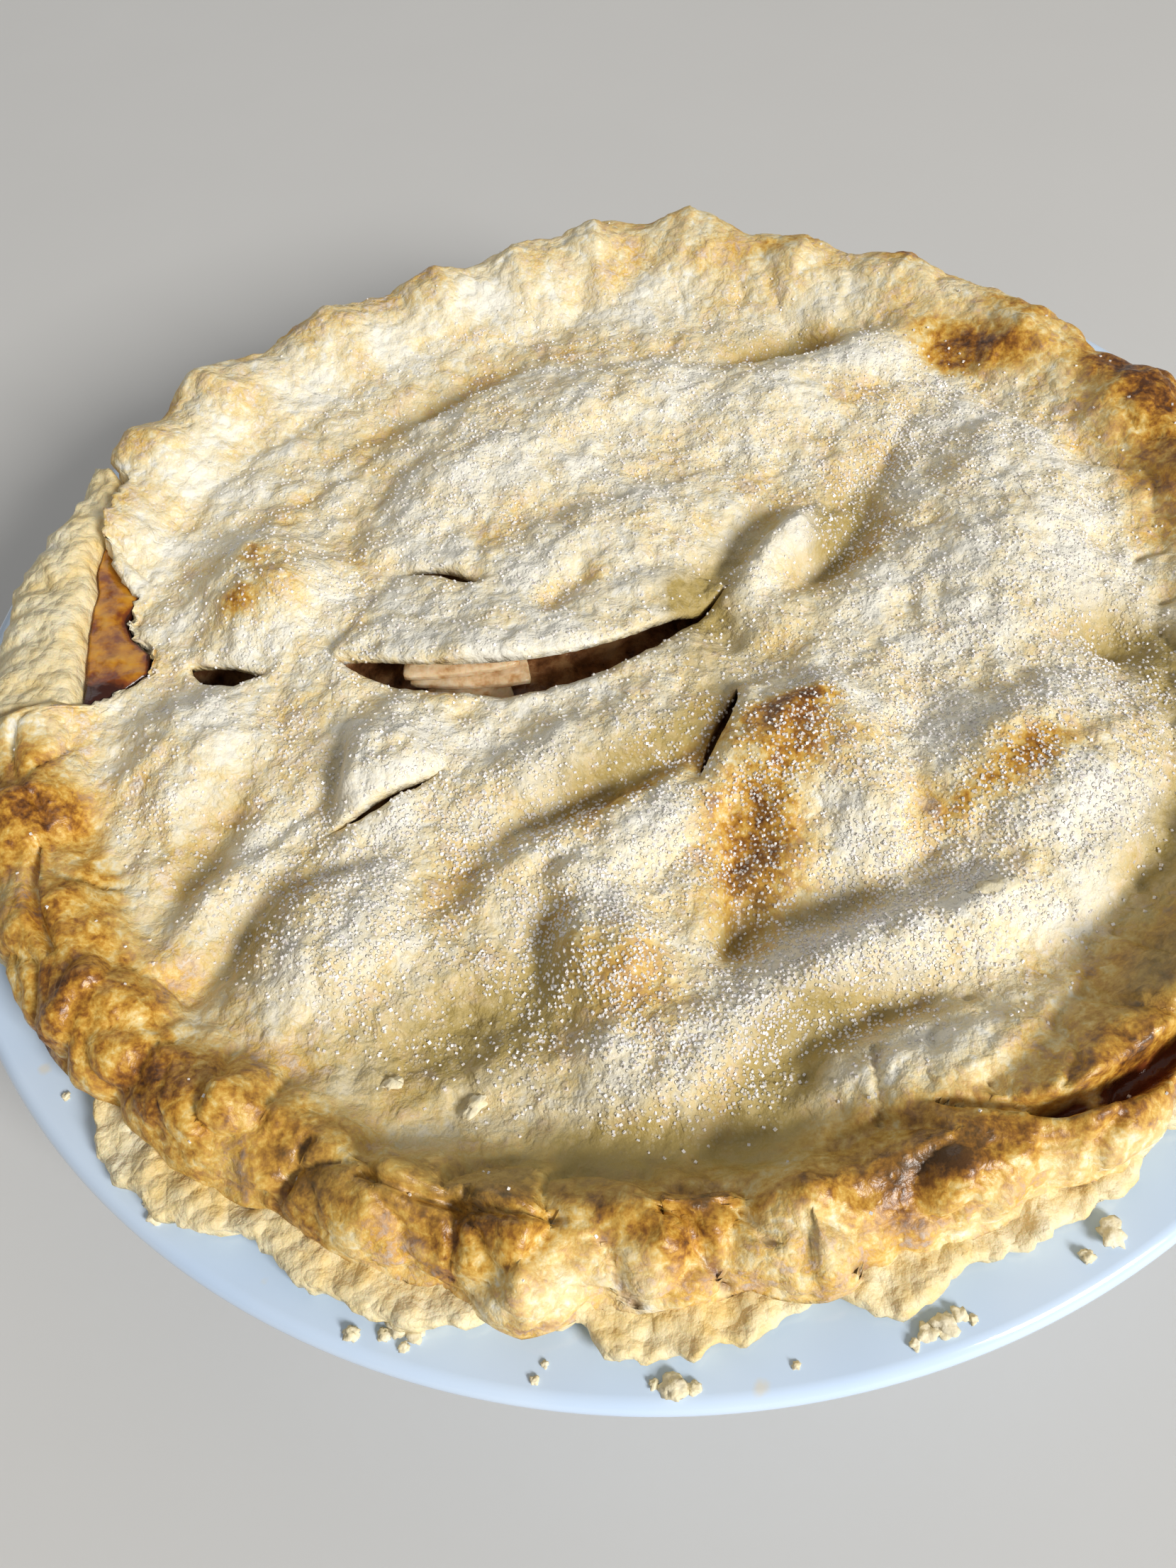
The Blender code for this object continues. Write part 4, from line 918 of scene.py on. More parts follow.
def plan_of(outlines, border, spacing):
    """Seen from above: the lid's points and triangles within its border and outside its vents."""
    steps = int(NET_HALF_WIDTH / spacing)
    rows, columns = np.mgrid[-steps:steps + 1, -steps:steps + 1]
    net_x = (columns + (rows % 2) / 2) * spacing
    net_y = rows * spacing * ROW_SPACING
    net = np.column_stack([net_x.ravel(), net_y.ravel()])
    net = net[within(net, border, LEAST_SPACING * spacing)]
    for outline in outlines:
        near = np.abs(net - outline.mean(0)).max(1) < VENT_NEIGHBOURHOOD
        gap = np.full(len(net), 1.0)
        gap[near] = np.linalg.norm(net[near][:, None] - outline, axis=2).min(1)
        net = net[(gap > LEAST_SPACING * LID_SPACING) & ~inside(net, outline)]
    loops = [border, *outlines]
    spots = [Vector(spot) for spot in np.vstack([*loops, net])]
    edges = []
    members = []
    for loop in loops:
        first = len(edges)
        members.append(range(first, first + len(loop)))
        edges += [(first + i, first + (i + 1) % len(loop)) for i in range(len(loop))]
    made, _, triangles, origins, _, _ = delaunay_2d_cdt(spots, edges, [], 0, SAME_PLACE)
    places = np.array([tuple(spot) for spot in made])
    triangles = np.array(triangles)
    new_of = np.zeros(len(spots), int)
    for new, olds in enumerate(origins):
        for old in olds:
            new_of[old] = new
    middles = places[triangles].mean(1)
    kept = within(middles, border, 0)
    for outline in outlines:
        kept &= ~inside(middles, outline)
    return places, triangles[kept], [new_of[numbers] for numbers in members]


def rim_profile(direction):
    """Radius and height along the rim in one direction: up its inner slope, over the crest and down."""
    turn = math.radians(direction)
    start = float(valley_radius(direction))
    knuckle = float(pinch(direction))
    peak = 1 - math.sqrt(max(0.0, 1 - knuckle**2))
    groove = PINCH_SOFTER * PINCH_DEPTH * (1 - knuckle) * float(around(direction, ROLLED))
    reach = float(around(direction, KNUCKLES))
    crest = reach - CREST_INSET - PINCH_AT_CREST * groove
    height = CREST_TOP + PEAK_WAVE * (peak - PEAK_LEVEL)
    foot = reach + WALL_FLARE - groove
    base = FLANGE_TOP + GAP
    shares = np.linspace(0, 1, SLOPE_STEPS)
    slope_r = start + shares * (crest - start)
    edge_heights = lid_top(slope_r * math.cos(turn), slope_r * math.sin(turn))
    slope_z = edge_heights + (height - edge_heights) * smoothstep(SLOPE_FROM, 1.0, shares)
    bends = np.radians(np.linspace(0, 90, SLOPE_STEPS))[1:]
    wall_r = crest + (foot - crest) * np.sin(bends)
    wall_z = base + (height - base) * np.cos(bends) ** WALL_FULLNESS
    radius, height = np.concatenate([slope_r, wall_r]), np.concatenate([slope_z, wall_z])
    torn = float(torn_radius(direction))
    if torn < foot:
        crossing = int(np.argmax(radius > torn))
        top = np.interp(torn, radius[crossing - 1:crossing + 1], height[crossing - 1:crossing + 1])
        radius = np.concatenate([radius[:crossing], [torn, torn, torn]])
        height = np.concatenate([height[:crossing], [top, (top + base) / 2, base]])
    lengths = np.concatenate([[0], np.cumsum(np.hypot(np.diff(radius), np.diff(height)))])
    even = np.linspace(0, lengths[-1], RIM_ROWS)
    return np.interp(even, lengths, radius), np.interp(even, lengths, height)


# The lid's two sheets, the walls of its vents and the rim, joined in one closed mesh.
lid_degrees = directions(LID_DIRECTIONS)
border = polar(lid_degrees, valley_radius(lid_degrees))
outlines = [vent_outline(points, half_width) for points, half_width, _, _ in VENTS]
top_spots, top_triangles, top_loops = plan_of(outlines, border, LID_SPACING)
low_spots, low_triangles, low_loops = plan_of(outlines, border, UNDERSIDE_SPACING)
top_x, top_y = top_spots.T
top_z = lid_top(top_x, top_y) + lid_relief(top_x, top_y)
top_z -= crack_depth(top_x, top_y, top_z)
low_z = lid_underside(*low_spots.T)

rim_grid = np.zeros((RIM_ROWS, LID_DIRECTIONS, 3))
for column, direction in enumerate(lid_degrees):
    radii, heights = rim_profile(direction)
    rim_grid[:, column, :2] = np.outer(radii, polar(direction, 1.0))
    rim_grid[:, column, 2] = heights
rim_normals = -normals_of(rim_grid)
rim_points = rim_grid.reshape(-1, 3)
rim_lumps = rim_relief(rim_points).reshape(RIM_ROWS, -1)
lid_lumps = lid_relief(rim_points[:, 0], rim_points[:, 1]).reshape(RIM_ROWS, -1)
rows = np.arange(RIM_ROWS)[:, None]
off_lid = smoothstep(0, RIM_BLEND_ROWS, rows)
off_foot = smoothstep(RIM_ROWS - 1, RIM_ROWS - 1 - FOOT_BLEND_ROWS, rows)
rim_grid = rim_grid + rim_normals * (rim_lumps * off_lid * off_foot)[..., None]
rim_grid[..., 2] += lid_lumps * (1 - off_lid) * off_foot
rim_points = rim_grid.reshape(-1, 3)
rim_points[:, 2] -= crack_depth(*rim_points.T)
rim_grid = rim_points.reshape(RIM_ROWS, -1, 3)

foot_radius = np.hypot(rim_grid[-1, :, 0], rim_grid[-1, :, 1])
ledge = np.minimum(LEDGE_RADIUS, foot_radius - LEDGE_INSET)
top_sheet = np.column_stack([top_spots, top_z])
low_sheet = np.column_stack([low_spots, low_z])
base_ring = ring(lid_degrees, ledge, FLANGE_TOP + GAP)
lid_points = np.vstack([top_sheet, low_sheet, rim_grid[1:].reshape(-1, 3), base_ring])
low_first = len(top_spots)
rim_first = low_first + len(low_spots)
lid_faces = [tuple(triangle) for triangle in top_triangles]
lid_faces += [tuple(low_first + triangle[::-1]) for triangle in low_triangles]
rim_rows = [top_loops[0]]
rim_rows += [rim_first + row * LID_DIRECTIONS + np.arange(LID_DIRECTIONS) for row in range(RIM_ROWS)]
rim_rows.append(low_first + low_loops[0])
for upper, lower in zip(rim_rows, rim_rows[1:]):
    for i in range(LID_DIRECTIONS):
        j = (i + 1) % LID_DIRECTIONS
        lid_faces.append((upper[i], lower[i], lower[j], upper[j]))
for upper, lower in zip(top_loops[1:], low_loops[1:]):
    for i in range(len(upper)):
        j = (i + 1) % len(upper)
        lid_faces.append((upper[i], upper[j], low_first + lower[j], low_first + lower[i]))

# How the oven coloured the crust: the rim and its outer wall round the pie, and soft oval patches on the
# whole, some of them painted shade. Below 0 is paler. Hollows and valleys also get a painted olive shade,
# and sugar lies in drifts.
RIM_BROWNING = (
    (0, 0.43), (15, 0.4), (30, 0.37), (38, 0.35), (48, 0.31), (58, 0.3), (70, 0.33), (85, 0.31),
    (105, 0.27), (130, 0.25), (150, 0.26), (165, 0.28), (180, 0.34), (195, 0.45), (205, 0.54), (215, 0.56),
    (225, 0.55), (235, 0.55), (245, 0.52), (252, 0.44), (260, 0.5), (268, 0.4), (275, 0.48), (285, 0.44),
    (295, 0.4), (305, 0.4), (318, 0.38), (332, 0.4), (345, 0.43),
)
WALL_BROWNING = (
    (0, 0.08), (90, 0.14), (180, 0.12), (205, 0.0), (240, -0.1), (280, -0.08), (300, 0.0), (340, -0.05),
)
# Patches of browning, and some of painted shade: in the valley inside the front rim, in hollows beside the
# bulges and under the roll at the front left. Centre, half sizes along and across, turn in degrees, strength.
BROWN_AND_SHADE_PATCHES = (
    (-78, 18, 3.5, 2.8, 0, 0.3), (-79, 5, 4, 3, 0, 0.34), (-76, 12, 11, 12.5, 0, 0.3),
    (0, 68, 8, 4, 20, 0.16), (66, -43, 12, 5, 15, 0.46), (54, -52, 9, 4.5, 15, 0.4),
    (19, -40, 15, 11, 30, 0.33), (24, -31.5, 12, 3, 18, 0.36), (31, -37, 10, 7, 20, 0.2),
    (21.5, -49, 8, 6, 40, 0.12), (64, -48, 12, 6, 15, 0.06), (-4, -42.5, 8, 4, 25, 0.14),
    (32, -29, 3, 2.2, 0, 0.25), (19, -56, 12, 8.5, 75, 0.3), (15, -66, 6, 4.5, 80, 0.24),
    (13, -71.5, 5, 2.8, 60, 0.22), (-6, -43, 11, 3.6, 25, 0.3), (1, -37.5, 3, 2.2, 0, 0.2),
    (-13, -50, 9, 5, 30, 0.24), (-15.5, -70, 4.5, 9, 5, 0.34), (-6, -78, 9, 7.5, 0, 0.4),
    (20, -91, 6, 3.5, 48, 0.1), (33, -85.5, 6, 3, 10, 0.1), (-65, -65, 8, 3.5, 63, 0.1),
    (-80, -48, 12, 3.5, 68, 0.05), (-37, -61.5, 7, 3, 40, 0.12), (-28, -83, 16, 6, 15, 0.04),
    (0, -106, 42, 5.5, 3, 0.14), (25, -107, 20, 4.5, 5, 0.14), (72, -80.5, 14, 5.5, 33, 0.12),
    (103, 20, 25, 6, 98, 0.1), (30, 20, 14, 3, 57, 0.08), (51, 31, 17, 4.5, 68, 0.05),
    (45.5, 12.5, 3.5, 2.5, 0, 0.3), (4, -95, 7, 5, 0, 0.12), (52, 58, 12, 5, 30, 0.12),
    (37.5, -112, 16, 4.2, 17, 0.22), (-2, -115.5, 8, 4, 0, 0.18), (0, -122.5, 4.5, 5, 0, 0.12),
    (-96.5, -78, 7, 6, 40, 0.3), (74, -85, 11, 5, 40, 0.3), (69, -99, 10, 4, 45, 0.25),
    (-115.8, -44.4, 6, 8, 0, 0.18), (-54, -111.7, 7, 5, -30, 0.28), (-28.7, -119, 7, 5, -10, 0.22),
    (15, -117, 8, 6, 10, -0.2), (-99.8, -47.8, 6, 6, 0, -0.15), (-44.9, -104.4, 6, 4, 0, -0.12),
    (-77.6, -96.9, 8, 4.5, -40, 0.32), (72.6, 71.4, 11, 6, 135, 0.4), (114, 39.6, 11, 6, 105, 0.2),
    (-109.6, -57.9, 8, 7, 0, -0.14), (-60.7, -103.8, 10, 6, -35, -0.14), (9, -30, 8, 4, 50, 0.16),
    (-22, 62, 12, 6, 30, 0.12), (-12, 33, 16, 6, 20, 0.12), (-8, 6, 4, 3, 0, 0.22),
    (-90, -30, 8, 7, 0, 0.14), (39, 80, 12, 3.5, 14, 0.24), (-42, 71, 26, 4, 34, 0.12),
    (88, -15, 6, 5, 0, 0.06), (80, 70, 12, 5, 140, 0.32), (90, 78, 8, 4, 130, 0.2),
    (108, 54, 11, 6, 115, 0.34), (112, 34, 12, 5.5, 105, 0.2), (42, 112, 10, 3, 20, 0.26),
    (72, 108, 8, 5, 30, 0.26), (-104, -40, 7, 14, 60, 0.16), (-98, -52, 3, 9, 30, 0.3),
    (-54, -106, 6, 8, 30, 0.28), (-26, -114, 7, 4.5, 5, 0.32), (5, -115, 6, 5, 0, 0.3),
    (25, -113, 16, 3, 5, 0.24), (43, -109, 9, 2.5, 20, 0.28), (70, -100, 12, 3, 38, 0.16),
    (30.5, -127.5, 2.5, 2, 0, 0.3),
)
# Painted olive shade in the lid's hollows and valleys: centre, half sizes along and across, turn in degrees,
# strength.
PAINTED_SHADE_HOLLOWS = (
    (-80, -48, 14, 6, 68, 0.5), (-66, -65, 13, 6.5, 63, 0.5), (-12, -44, 21, 4.5, 24, 0.4),
    (-30, -85, 22, 11, 15, 1.0), (-19, -71, 12, 4.5, 85, 0.55), (16.5, -96, 11, 6, 60, 1.2),
    (33, -85.5, 16, 5, 12, 0.65), (13.5, -71, 8, 5, 60, 0.45), (27, -67, 17, 5, 12, 0.4),
    (-10, -107.5, 42, 6.5, 2, 0.65), (22.2, -90, 8, 5, 45, 0.6), (85, -60, 20, 6.5, 57, 0.85),
    (-7, -103, 14, 5, 2, 0.6), (10, -1, 6, 5, -60, 0.7), (11.2, -15.8, 7, 4, -60, 0.5),
    (-5.6, -37.7, 10, 4, 25, 0.5), (94.6, -27, 14, 6.5, 74, 0.8), (16.5, -6, 13, 5.5, -60, 0.7),
    (7.8, -30.3, 11, 5, 50, 0.7), (40, 23, 8, 4, 60, 0.4), (76, -84, 14, 5, 33, 0.5),
    (89, -15, 11, 8.5, 0, 0.8), (19, 10, 19, 5.5, 52, 0.72), (44, 18, 20, 6, 62, 0.9),
    (-17, -38, 12, 6, 20, 0.3), (-43, 70, 30, 7, 34, 0.35), (38, 81, 16, 7, 14, 0.8),
    (-57.5, -37, 11, 4, 85, 0.45), (-36, -62, 10, 6, 40, 0.35), (-68.6, -66.9, 7, 6, 60, 0.4),
    (-62, -83, 30, 6, -40, 0.15), (-60, 36, 20, 6, 60, 0.25),
)
LID_BROWNING = 0.18
RIM_FROM = (0.099, 0.113)
RIM_FROM_SHIFT = 0.004
WALL_FROM = (0.119, 0.127)
CREST_BROWNS_FROM = 0.058
CREST_BROWNING = 14
HOLLOW_BROWNING_AND_SHADE = 30
HOLLOW_BELOW = 0.0012
HOLLOW_RANGE = (-0.07, 0.12)
OLIVE_SHADE = (0.42, 0.31, 0.095)
FLOURED_DOUGH = (0.91, 0.88, 0.79)
SUGARED_DOUGH = (0.89, 0.87, 0.82)
SOAKED_DOUGH = (0.15, 0.035, 0.010)
CRACK_SOAKED_FROM = 0.056
CRACK_SOAKED_DEPTH = 0.004
CRACK_SOAKED_BELOW = 0.0545
GRAIN_PATTERN = 0.0011
FLECK_PATTERN = 0.0030
FLAKE_PATTERN = 0.0080
CLUMP_PATTERN = 0.0026
PALE_CLUMP_PATTERN = 0.0048
CLOUD_PATTERN = 0.013
SUGAR_PATTERN = 0.0008
FINE_RELIEF = 0.00062
GRAIN_TONE = 0.75
FLECK_TONE = 1.05
CLOUD_TONE = 0.95
FLAKE_TONE = 0.03
FLAKE_LEVELS = ((0.38, 0.43), (0.48, 0.53), (0.58, 0.63))
FLAKE_MIDDLE = 1.5
CLUMP_EDGE = (0.50, 0.25)
PALE_CLUMP_EDGE = (0.44, 0.18)
SHADE_SPREAD = 1.75
SHADE_FLECKS = 1.2
SHADE_HIDES_FLOUR = 0.9
FLOURED_FLECKS = (0.49, 0.58)
FLOURED_GRAIN = (0.50, 0.62)
FLECK_FLOUR = 0.40
CLUMP_FLOUR = 0.35
GRAIN_FLOUR = 0.40
FLOUR_BAKES_AWAY = (0.55, 0.20)
SUGAR_SHADE = 1.4
SUGAR_SPOT_EDGE = (0.42, 0.26)
SUGAR_WHITENS = 0.55
PALE_ROUGHNESS = 0.68
SHINE_FROM = (0.2, 0.7)
BROWN_SMOOTHER = 0.33
SYRUP_SMOOTHER = 0.2
GRAIN_ROUGHER = 0.2
FLECK_HEIGHT = 0.8
GRAIN_HEIGHT = 0.5
FLAKE_HEIGHT = 0.15
CLUMP_DEPTH = 0.8
SUGAR_HEIGHT = 0.4
FLATTER_FROM = (0.30, 0.50)
BROWN_FLATTER = 0.5
SUGAR_BASE = 0.12
SUGAR_IN_PATCHES = 0.9
SUGAR_CLUMP_SIZE = 0.009
SUGAR_CLUMPING = 1.2
SUGAR_CLUMP_RANGE = (0.1, 2.2)
SUGAR_EDGE = (0.109, 0.094)
SUGAR_ON_RIM = 0.03
SUGAR_CLINGS = (0.35, 0.7)
SUGAR_PATCHES = (
    (-12, -70, 12, 17, 0, 1.0), (12, -88, 24, 12, 15, 1.0), (45, -65, 22, 12, 20, 1.0),
    (-100, -43, 7, 14, 60, 1.0), (25, -40, 30, 25, 30, 0.5), (-45, -55, 28, 22, 30, 0.7),
    (75, -30, 26, 30, 60, 0.55), (-20, 50, 50, 30, 20, 0.18), (70, 30, 30, 40, 70, 0.35),
    (-50, 5, 40, 25, 20, 0.14), (55, 35, 30, 8, 56, 0.6),
)


def browning_and_shade_at(points):
    """How baked the crust is, with painted shade darkening its hollows and valleys: 0 for pale dough, 0.5 for
    golden, 1 for dark brown.
    """
    x, y, z = points.T
    radius = np.hypot(x, y)
    degrees = np.degrees(np.arctan2(y, x)) % 360
    on_rim = smoothstep(*RIM_FROM, radius + RIM_FROM_SHIFT * np.cos(np.radians(degrees)))
    wall = smoothstep(*WALL_FROM, radius)
    crest = CREST_BROWNING * (z - CREST_BROWNS_FROM) * (1 - wall)
    rim = around(degrees, RIM_BROWNING) + crest + around(degrees, WALL_BROWNING) * wall
    level = LID_EDGE_TOP + LID_RISE * (1 - np.clip(radius / LID_DOME_RADIUS, 0, 1) ** 2)
    # Below the dome's level the crust is browner, partly as dough that kept less flour and partly as painted
    # shade; above it, paler.
    hollow = np.clip((level + HOLLOW_BELOW - z) * HOLLOW_BROWNING_AND_SHADE, *HOLLOW_RANGE)
    return (LID_BROWNING + hollow) * (1 - on_rim) + rim * on_rim + blots(x, y, BROWN_AND_SHADE_PATCHES)


def sugar_at(points, normals):
    """How densely sugar lies: 1 is about one grain for each square millimetre."""
    x, y, z = points.T
    radius = np.hypot(x, y)
    strewn = SUGAR_BASE + SUGAR_IN_PATCHES * blots(x, y, SUGAR_PATCHES)
    clumps = np.clip(1.0 + SUGAR_CLUMPING * lumps(points, SUGAR_CLUMP_SIZE, 3), *SUGAR_CLUMP_RANGE)
    on_lid = SUGAR_ON_RIM + (1 - SUGAR_ON_RIM) * smoothstep(*SUGAR_EDGE, radius)
    return strewn * clumps * on_lid * smoothstep(*SUGAR_CLINGS, normals[:, 2])


lid_pastry = Finish("lid_pastry", Roughness=0.55)
grain = lid_pastry.speckle(GRAIN_PATTERN, detail=3.0, roughness=0.6)
flecks = lid_pastry.speckle(FLECK_PATTERN, detail=3.0, roughness=0.6, warp=0.4)
layers = lid_pastry.speckle(FLAKE_PATTERN, detail=2.0, roughness=0.5, warp=0.3)
flake_edges = [layers.between(*levels) for levels in FLAKE_LEVELS]
flakes = flake_edges[0] + flake_edges[1] + flake_edges[2]
clumps = lid_pastry.cells(CLUMP_PATTERN)
pale_clumps = lid_pastry.cells(PALE_CLUMP_PATTERN).between(*PALE_CLUMP_EDGE) * clumps.between(*CLUMP_EDGE)
clouds = lid_pastry.speckle(CLOUD_PATTERN, detail=2.0)
browned_and_shaded = lid_pastry.painted("browning")
bake = browned_and_shaded + (grain - 0.5) * GRAIN_TONE + (flecks - 0.5) * FLECK_TONE
bake = bake + (clouds - 0.5) * CLOUD_TONE + (FLAKE_MIDDLE - flakes) * FLAKE_TONE
# Painted shade: olive laid over the hollows and valleys, broken up by the flecks.
damp = (lid_pastry.painted("damp") * (SHADE_SPREAD - flecks * SHADE_FLECKS)).clipped()
crust_tone = lid_pastry.mix(damp, lid_pastry.ramp(bake, DOUGH_TONES), OLIVE_SHADE)
mottle = flecks.between(*FLOURED_FLECKS) * FLECK_FLOUR + pale_clumps * CLUMP_FLOUR
mottle = mottle + grain.between(*FLOURED_GRAIN) * GRAIN_FLOUR
flour = mottle * browned_and_shaded.between(*FLOUR_BAKES_AWAY)
floured = lid_pastry.mix(flour * (1.0 - damp * SHADE_HIDES_FLOUR), crust_tone, FLOURED_DOUGH)
sugar_share = (lid_pastry.painted("sugar") * SUGAR_SHADE).clipped()
grains_here = lid_pastry.cells(SUGAR_PATTERN).between(*SUGAR_SPOT_EDGE) * sugar_share
sugared = lid_pastry.mix(grains_here * SUGAR_WHITENS, floured, SUGARED_DOUGH)
syrupy = lid_pastry.painted("syrupy")
lid_pastry.feed("Base Color", lid_pastry.mix(syrupy, sugared, SOAKED_DOUGH))
crust_roughness = PALE_ROUGHNESS - browned_and_shaded.between(*SHINE_FROM) * BROWN_SMOOTHER - syrupy * SYRUP_SMOOTHER
lid_pastry.feed("Roughness", crust_roughness + (grain - 0.5) * GRAIN_ROUGHER)
fine_height = flecks * FLECK_HEIGHT + grain * GRAIN_HEIGHT + flakes * FLAKE_HEIGHT
fine_height = fine_height - clumps * CLUMP_DEPTH + grains_here * SUGAR_HEIGHT
lid_pastry.raise_by(fine_height * (1.0 - browned_and_shaded.between(*FLATTER_FROM) * BROWN_FLATTER), FINE_RELIEF)
lid = object_of("top_crust_baked", lid_points, lid_faces, lid_pastry)
lid_co = np.array([vertex.co for vertex in lid.data.vertices])
lid_normals = np.array([vertex.normal for vertex in lid.data.vertices])
paint(lid, "browning", browning_and_shade_at(lid_co))
# Where the painted olive shade lies on the lid.
paint(lid, "damp", blots(lid_co[:, 0], lid_co[:, 1], PAINTED_SHADE_HOLLOWS))
lid_sugar = sugar_at(lid_co, lid_normals)
lid_sugar[low_first:rim_first] = 0
paint(lid, "sugar", lid_sugar)
soaked = crack_depth(*lid_co[:, :2].T, np.full(len(lid_co), CRACK_SOAKED_FROM)) / CRACK_SOAKED_DEPTH
paint(lid, "syrupy", np.clip(soaked, 0, 1) * (lid_co[:, 2] < CRACK_SOAKED_BELOW))
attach(lid, "root")
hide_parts("top_crust")

# Filling: sliced apple stewed soft in its own juice with brown sugar and cinnamon. It fills the lining and
# is seen down the vents, where it has sunk away from the lid.
STEAM_GAP = 0.0034
FILLING_POLE_RADIUS = 0.04
FILLING_EDGE = 0.1050
FILLING_EDGE_DROP = 0.0015
FILLING_TOP_RADII = np.arange(0.1010, 0.0010, -0.0018)
CLEAR_OF_LID = 0.0006
POCKET_REACH = 0.011
LONG_POCKET_DEPTH = 0.0040
LEFT_POCKET_DEPTH = 0.0080
FILLING_DIRECTIONS = 300
FILLING_CHUNKS = ((0.0075, 0.0013, 2), (0.0025, 0.0005, 2))
CINNAMON_TONES = [
    (0.30, (0.075, 0.026, 0.010)), (0.46, (0.25, 0.105, 0.038)), (0.60, (0.44, 0.24, 0.10)),
    (0.76, (0.46, 0.27, 0.12)),
]
MUSH_PATTERN = 0.0040
MUSH_RELIEF = 0.0008
WET_PATTERN = 0.002
WET_UNEVENNESS = 0.4
WET_ROUGHNESS = 0.15


def filling_top(x, y):
    """The fruit's height: clear of the lid by the steam gap, and sunk below the two open vents."""
    height = dome(x, y) - LID_THICKNESS - STEAM_GAP
    for vent, depth in ((LONG_VENT, LONG_POCKET_DEPTH), (LEFT_VENT, LEFT_POCKET_DEPTH)):
        distance = nearest(x, y, vent[0])[1]
        height = height - depth * np.exp(-((distance / POCKET_REACH) ** 2))
    return height


around_filling = directions(FILLING_DIRECTIONS)
fruit_wall = [(r - CLEAR_INWARD, z + CLEAR_UPWARD) for r, z in (inner_floor, inner_foot, inner_top)]
fruit_profile = [(FILLING_POLE_RADIUS, fruit_wall[0][1]), *fruit_wall]
fruit_profile.append((FILLING_EDGE, FLANGE_TOP - FILLING_EDGE_DROP))
fruit_rings = [ring(around_filling, radius, height) for radius, height in fruit_profile]
for radius in FILLING_TOP_RADII:
    plan = polar(around_filling, np.full(FILLING_DIRECTIONS, radius))
    level = filling_top(*plan.T)
    smooth_ring = np.column_stack([plan, level])
    for size, height, octaves in FILLING_CHUNKS:
        level = level + height * lumps(smooth_ring, size, octaves)
    ceiling = lid_underside(*plan.T) - CLEAR_OF_LID
    fruit_rings.append(np.column_stack([plan, np.minimum(level, ceiling)]))
middle_height = float(filling_top(np.zeros(1), np.zeros(1))[0])
fruit_points, fruit_faces = skin_of_rings(fruit_rings, (0, 0, fruit_wall[0][1]), (0, 0, middle_height))
cinnamon = Finish("cinnamon_filling", Roughness=0.35, Coat_Weight=0.3, Coat_Roughness=0.2)
mush = cinnamon.speckle(MUSH_PATTERN, detail=4.0, roughness=0.6)
cinnamon.feed("Base Color", cinnamon.ramp(mush, CINNAMON_TONES))
cinnamon.feed("Roughness", cinnamon.speckle(WET_PATTERN) * WET_UNEVENNESS + WET_ROUGHNESS)
cinnamon.raise_by(mush, MUSH_RELIEF)
fruit = object_of("filling_stewed", fruit_points, fruit_faces, cinnamon)
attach(fruit, "root")
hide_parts("filling")

# Apple slices: three thin half-moons of cooked apple that lie stacked in the long vent, cut side out. Each
# is its solid with its edges rounded off and its sides a little uneven.
SLICE_CUTS = 3
SLICE_LUMP_SIZE = 0.0030
SLICE_LUMP_HEIGHT = 0.00022
SAME_POINT = 1e-6
APPLE_TONES = [(0.30, (0.50, 0.27, 0.10)), (0.50, (0.72, 0.52, 0.30)), (0.75, (0.82, 0.66, 0.47))]
FIBRE_PATTERN = 0.0022
FIBRE_RELIEF = 0.0003
JUICE_PATTERN = 0.004
JUICE_UNEVENNESS = 0.3
JUICE_ROUGHNESS = 0.2

apple_flesh = Finish("apple_flesh", Roughness=0.35, Subsurface_Weight=0.25, Subsurface_Scale=0.004)
fibre = apple_flesh.speckle(FIBRE_PATTERN, detail=3.0)
apple_flesh.feed("Base Color", apple_flesh.ramp(fibre, APPLE_TONES))
apple_flesh.feed("Roughness", apple_flesh.speckle(JUICE_PATTERN) * JUICE_UNEVENNESS + JUICE_ROUGHNESS)
apple_flesh.raise_by(fibre, FIBRE_RELIEF)
for node in ("apple_slice_upper", "apple_slice_middle", "apple_slice_lower"):
    bm = bmesh.new()
    bm.from_mesh(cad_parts[node].data)
    bmesh.ops.remove_doubles(bm, verts=bm.verts, dist=SAME_POINT)
    bmesh.ops.subdivide_edges(bm, edges=bm.edges, cuts=SLICE_CUTS, use_grid_fill=True)
    bmesh.ops.triangulate(bm, faces=bm.faces)
    bmesh.ops.smooth_vert(bm, verts=bm.verts, factor=0.5, use_axis_x=True, use_axis_y=True, use_axis_z=True)
    for vertex in bm.verts:
        vertex.co += vertex.normal * SLICE_LUMP_HEIGHT * noise.noise(vertex.co / SLICE_LUMP_SIZE)
    mesh = bpy.data.meshes.new(f"{node}_cooked")
    bm.to_mesh(mesh)
    bm.free()
    apple = smooth_piece(f"{node}_cooked", mesh, apple_flesh)
    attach(apple, "root")
    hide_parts(node)

